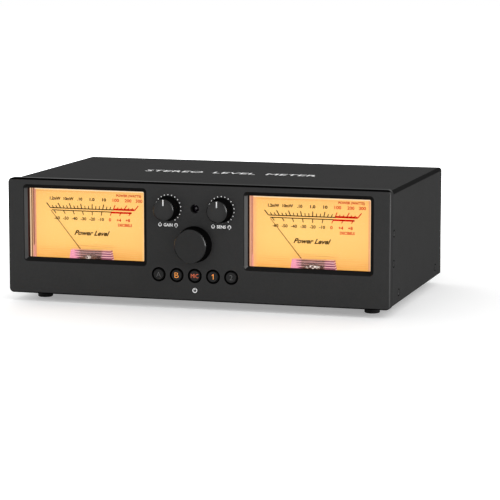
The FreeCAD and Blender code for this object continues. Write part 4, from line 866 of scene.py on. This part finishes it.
def button_legends():
    """A legend on each button, three of them lit. The figure one is drawn with two bars."""
    legends = (("A", 3.6, 3.5, -0.01, GREY_INK), ("B", 3.9, 3.0, -0.02, LIT_ORANGE),
               ("MIC", 3.0, 5.8, -0.006, LIT_RED), ("", 3.8, 0, 0, LIT_ORANGE),
               ("2", 3.8, 2.6, -0.01, GREY_INK))
    for index, (name, row) in enumerate(zip(BUTTONS, legends)):
        text, high, wide, weight, finish = row
        cap_low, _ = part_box("button_" + name)
        legend = Print(Vector(((index - 2) * BUTTON_PITCH * MM, cap_low.y, FOOT)), FRONT)
        if text:
            legend.words(text, 0, BUTTON_UP, high, wide, weight=weight)
        else:
            legend.bar((0.35, BUTTON_UP - high / 2), (0.35, BUTTON_UP + high / 2), 0.42)
            legend.bar((-0.8, BUTTON_UP + 0.9), (0.4, BUTTON_UP + 1.75), 0.3)
        legend.finish("button_" + name + "_legend", BODY["button_" + name], finish)


def top_print():
    """Spaced white capitals on the cover."""
    title = Print(Vector((0, cover_low.y, cover_high.z)), TOP)
    title.words("STEREO  LEVEL  METER", 0, 83, 9.6, 139)
    title.finish("top_lettering", "case", WHITE_INK)


def back_print():
    """Names of the sockets, read from behind."""
    names = Print(Vector((0, back_high.y, FOOT)), BACK)
    high = 3.0
    for index, name in enumerate(("IN A", "IN B", "OUT 1", "OUT 2")):
        across = 85.0 - 25.0 * index
        names.words(name, across, 72, high)
        names.bar((across - 9, 69.4), (across + 9, 69.4), 0.35)
    names.words("L", 99, 60, high)
    names.words("R", 99, 41, high)
    names.words("DC 12V", -100, 54, high)
    names.finish("back_lettering", "case", WHITE_INK)


for side in SIDES:
    scale_print(side)
panel_print()
knob_pointers()
button_legends()
top_print()
back_print()


# ---- floor, light and camera ---------------------------------------------------------

def floor():
    """A pale sheet that shows white away from the object and keeps its shadow, which painted light
    lifts on the object's left.
    """
    finish = Finish("floor_paper", Roughness=0.9, Specular_IOR_Level=0.0)
    grain = finish.noise(2 * MM)
    finish.drive(Base_Color=finish.mix(grain, shade(234), shade(238)))
    x, y, _ = finish.axes()
    away = ((x / 1.3).squared() + y.squared()).rise(0.02, 0.16)
    # Painted light: left of the object the floor is lifted brighter, lightening the shadow there.
    strength = (0.33 + 0.67 * away + 0.45 * x.fall(-0.2, -0.12)) * finish.seen()
    light = {"Color": shade(255), "Strength": strength}
    glow = finish.value("ShaderNodeEmission", None, light)
    finish.show(finish.value("ShaderNodeAddShader", None, {0: finish.shader, 1: glow}))
    shape = bmesh.new()
    bmesh.ops.create_circle(shape, cap_ends=True, segments=96, radius=6.0)
    mesh = bpy.data.meshes.new("floor")
    shape.to_mesh(mesh)
    shape.free()
    mesh.materials.append(finish.material)
    sheet = bpy.data.objects.new("floor", mesh)
    bpy.context.scene.collection.objects.link(sheet)


def sky():
    """White where it is seen, and a soft light from all round."""
    world = bpy.data.worlds.new("studio")
    world.use_nodes = True
    bpy.context.scene.world = world
    room = Nodes(world.node_tree)
    light = {"Color": shade(255), "Strength": 0.5 + 0.5 * room.seen()}
    background = room.value("ShaderNodeBackground", None, light)
    room.node("ShaderNodeOutputWorld", None, {"Surface": background})


def softbox(name, spot, target, wide, high, power):
    """A soft lamp that faces a target, in metres and watts."""
    data = bpy.data.lights.new(name, "AREA")
    data.shape = "RECTANGLE"
    data.size = wide
    data.size_y = high
    data.energy = power
    lamp = bpy.data.objects.new(name, data)
    lamp.location = spot
    lamp.rotation_euler = (Vector(target) - Vector(spot)).to_track_quat("-Z", "Y").to_euler()
    bpy.context.scene.collection.objects.link(lamp)


def camera():
    """A long lens in front, a little to the right and above."""
    down, aside = 8.233, 16.709
    lens = bpy.data.cameras.new("camera")
    lens.lens = 164.01
    lens.clip_end = 40
    eye = bpy.data.objects.new("camera", lens)
    eye.location = (0.5240, -1.6893, 0.2889)
    eye.rotation_euler = (math.radians(90 - down), 0, math.radians(aside))
    bpy.context.scene.collection.objects.link(eye)
    bpy.context.scene.camera = eye


floor()
sky()
softbox("overhead", (0.0, 0.75, 1.5), (0, 0, 0), 1.8, 1.3, 3.6)
softbox("behind", (-1.2, 0.8, 0.6), (0, 0, 0.05), 1.0, 0.8, 4.5)
softbox("right", (1.35, -0.5, 0.7), (0, 0, 0.05), 0.2, 1.7, 12)
softbox("front", (0.0, -1.9, 1.0), (0, 0, 0.05), 1.2, 0.8, 5)
camera()
bpy.context.scene.view_settings.view_transform = "Standard"
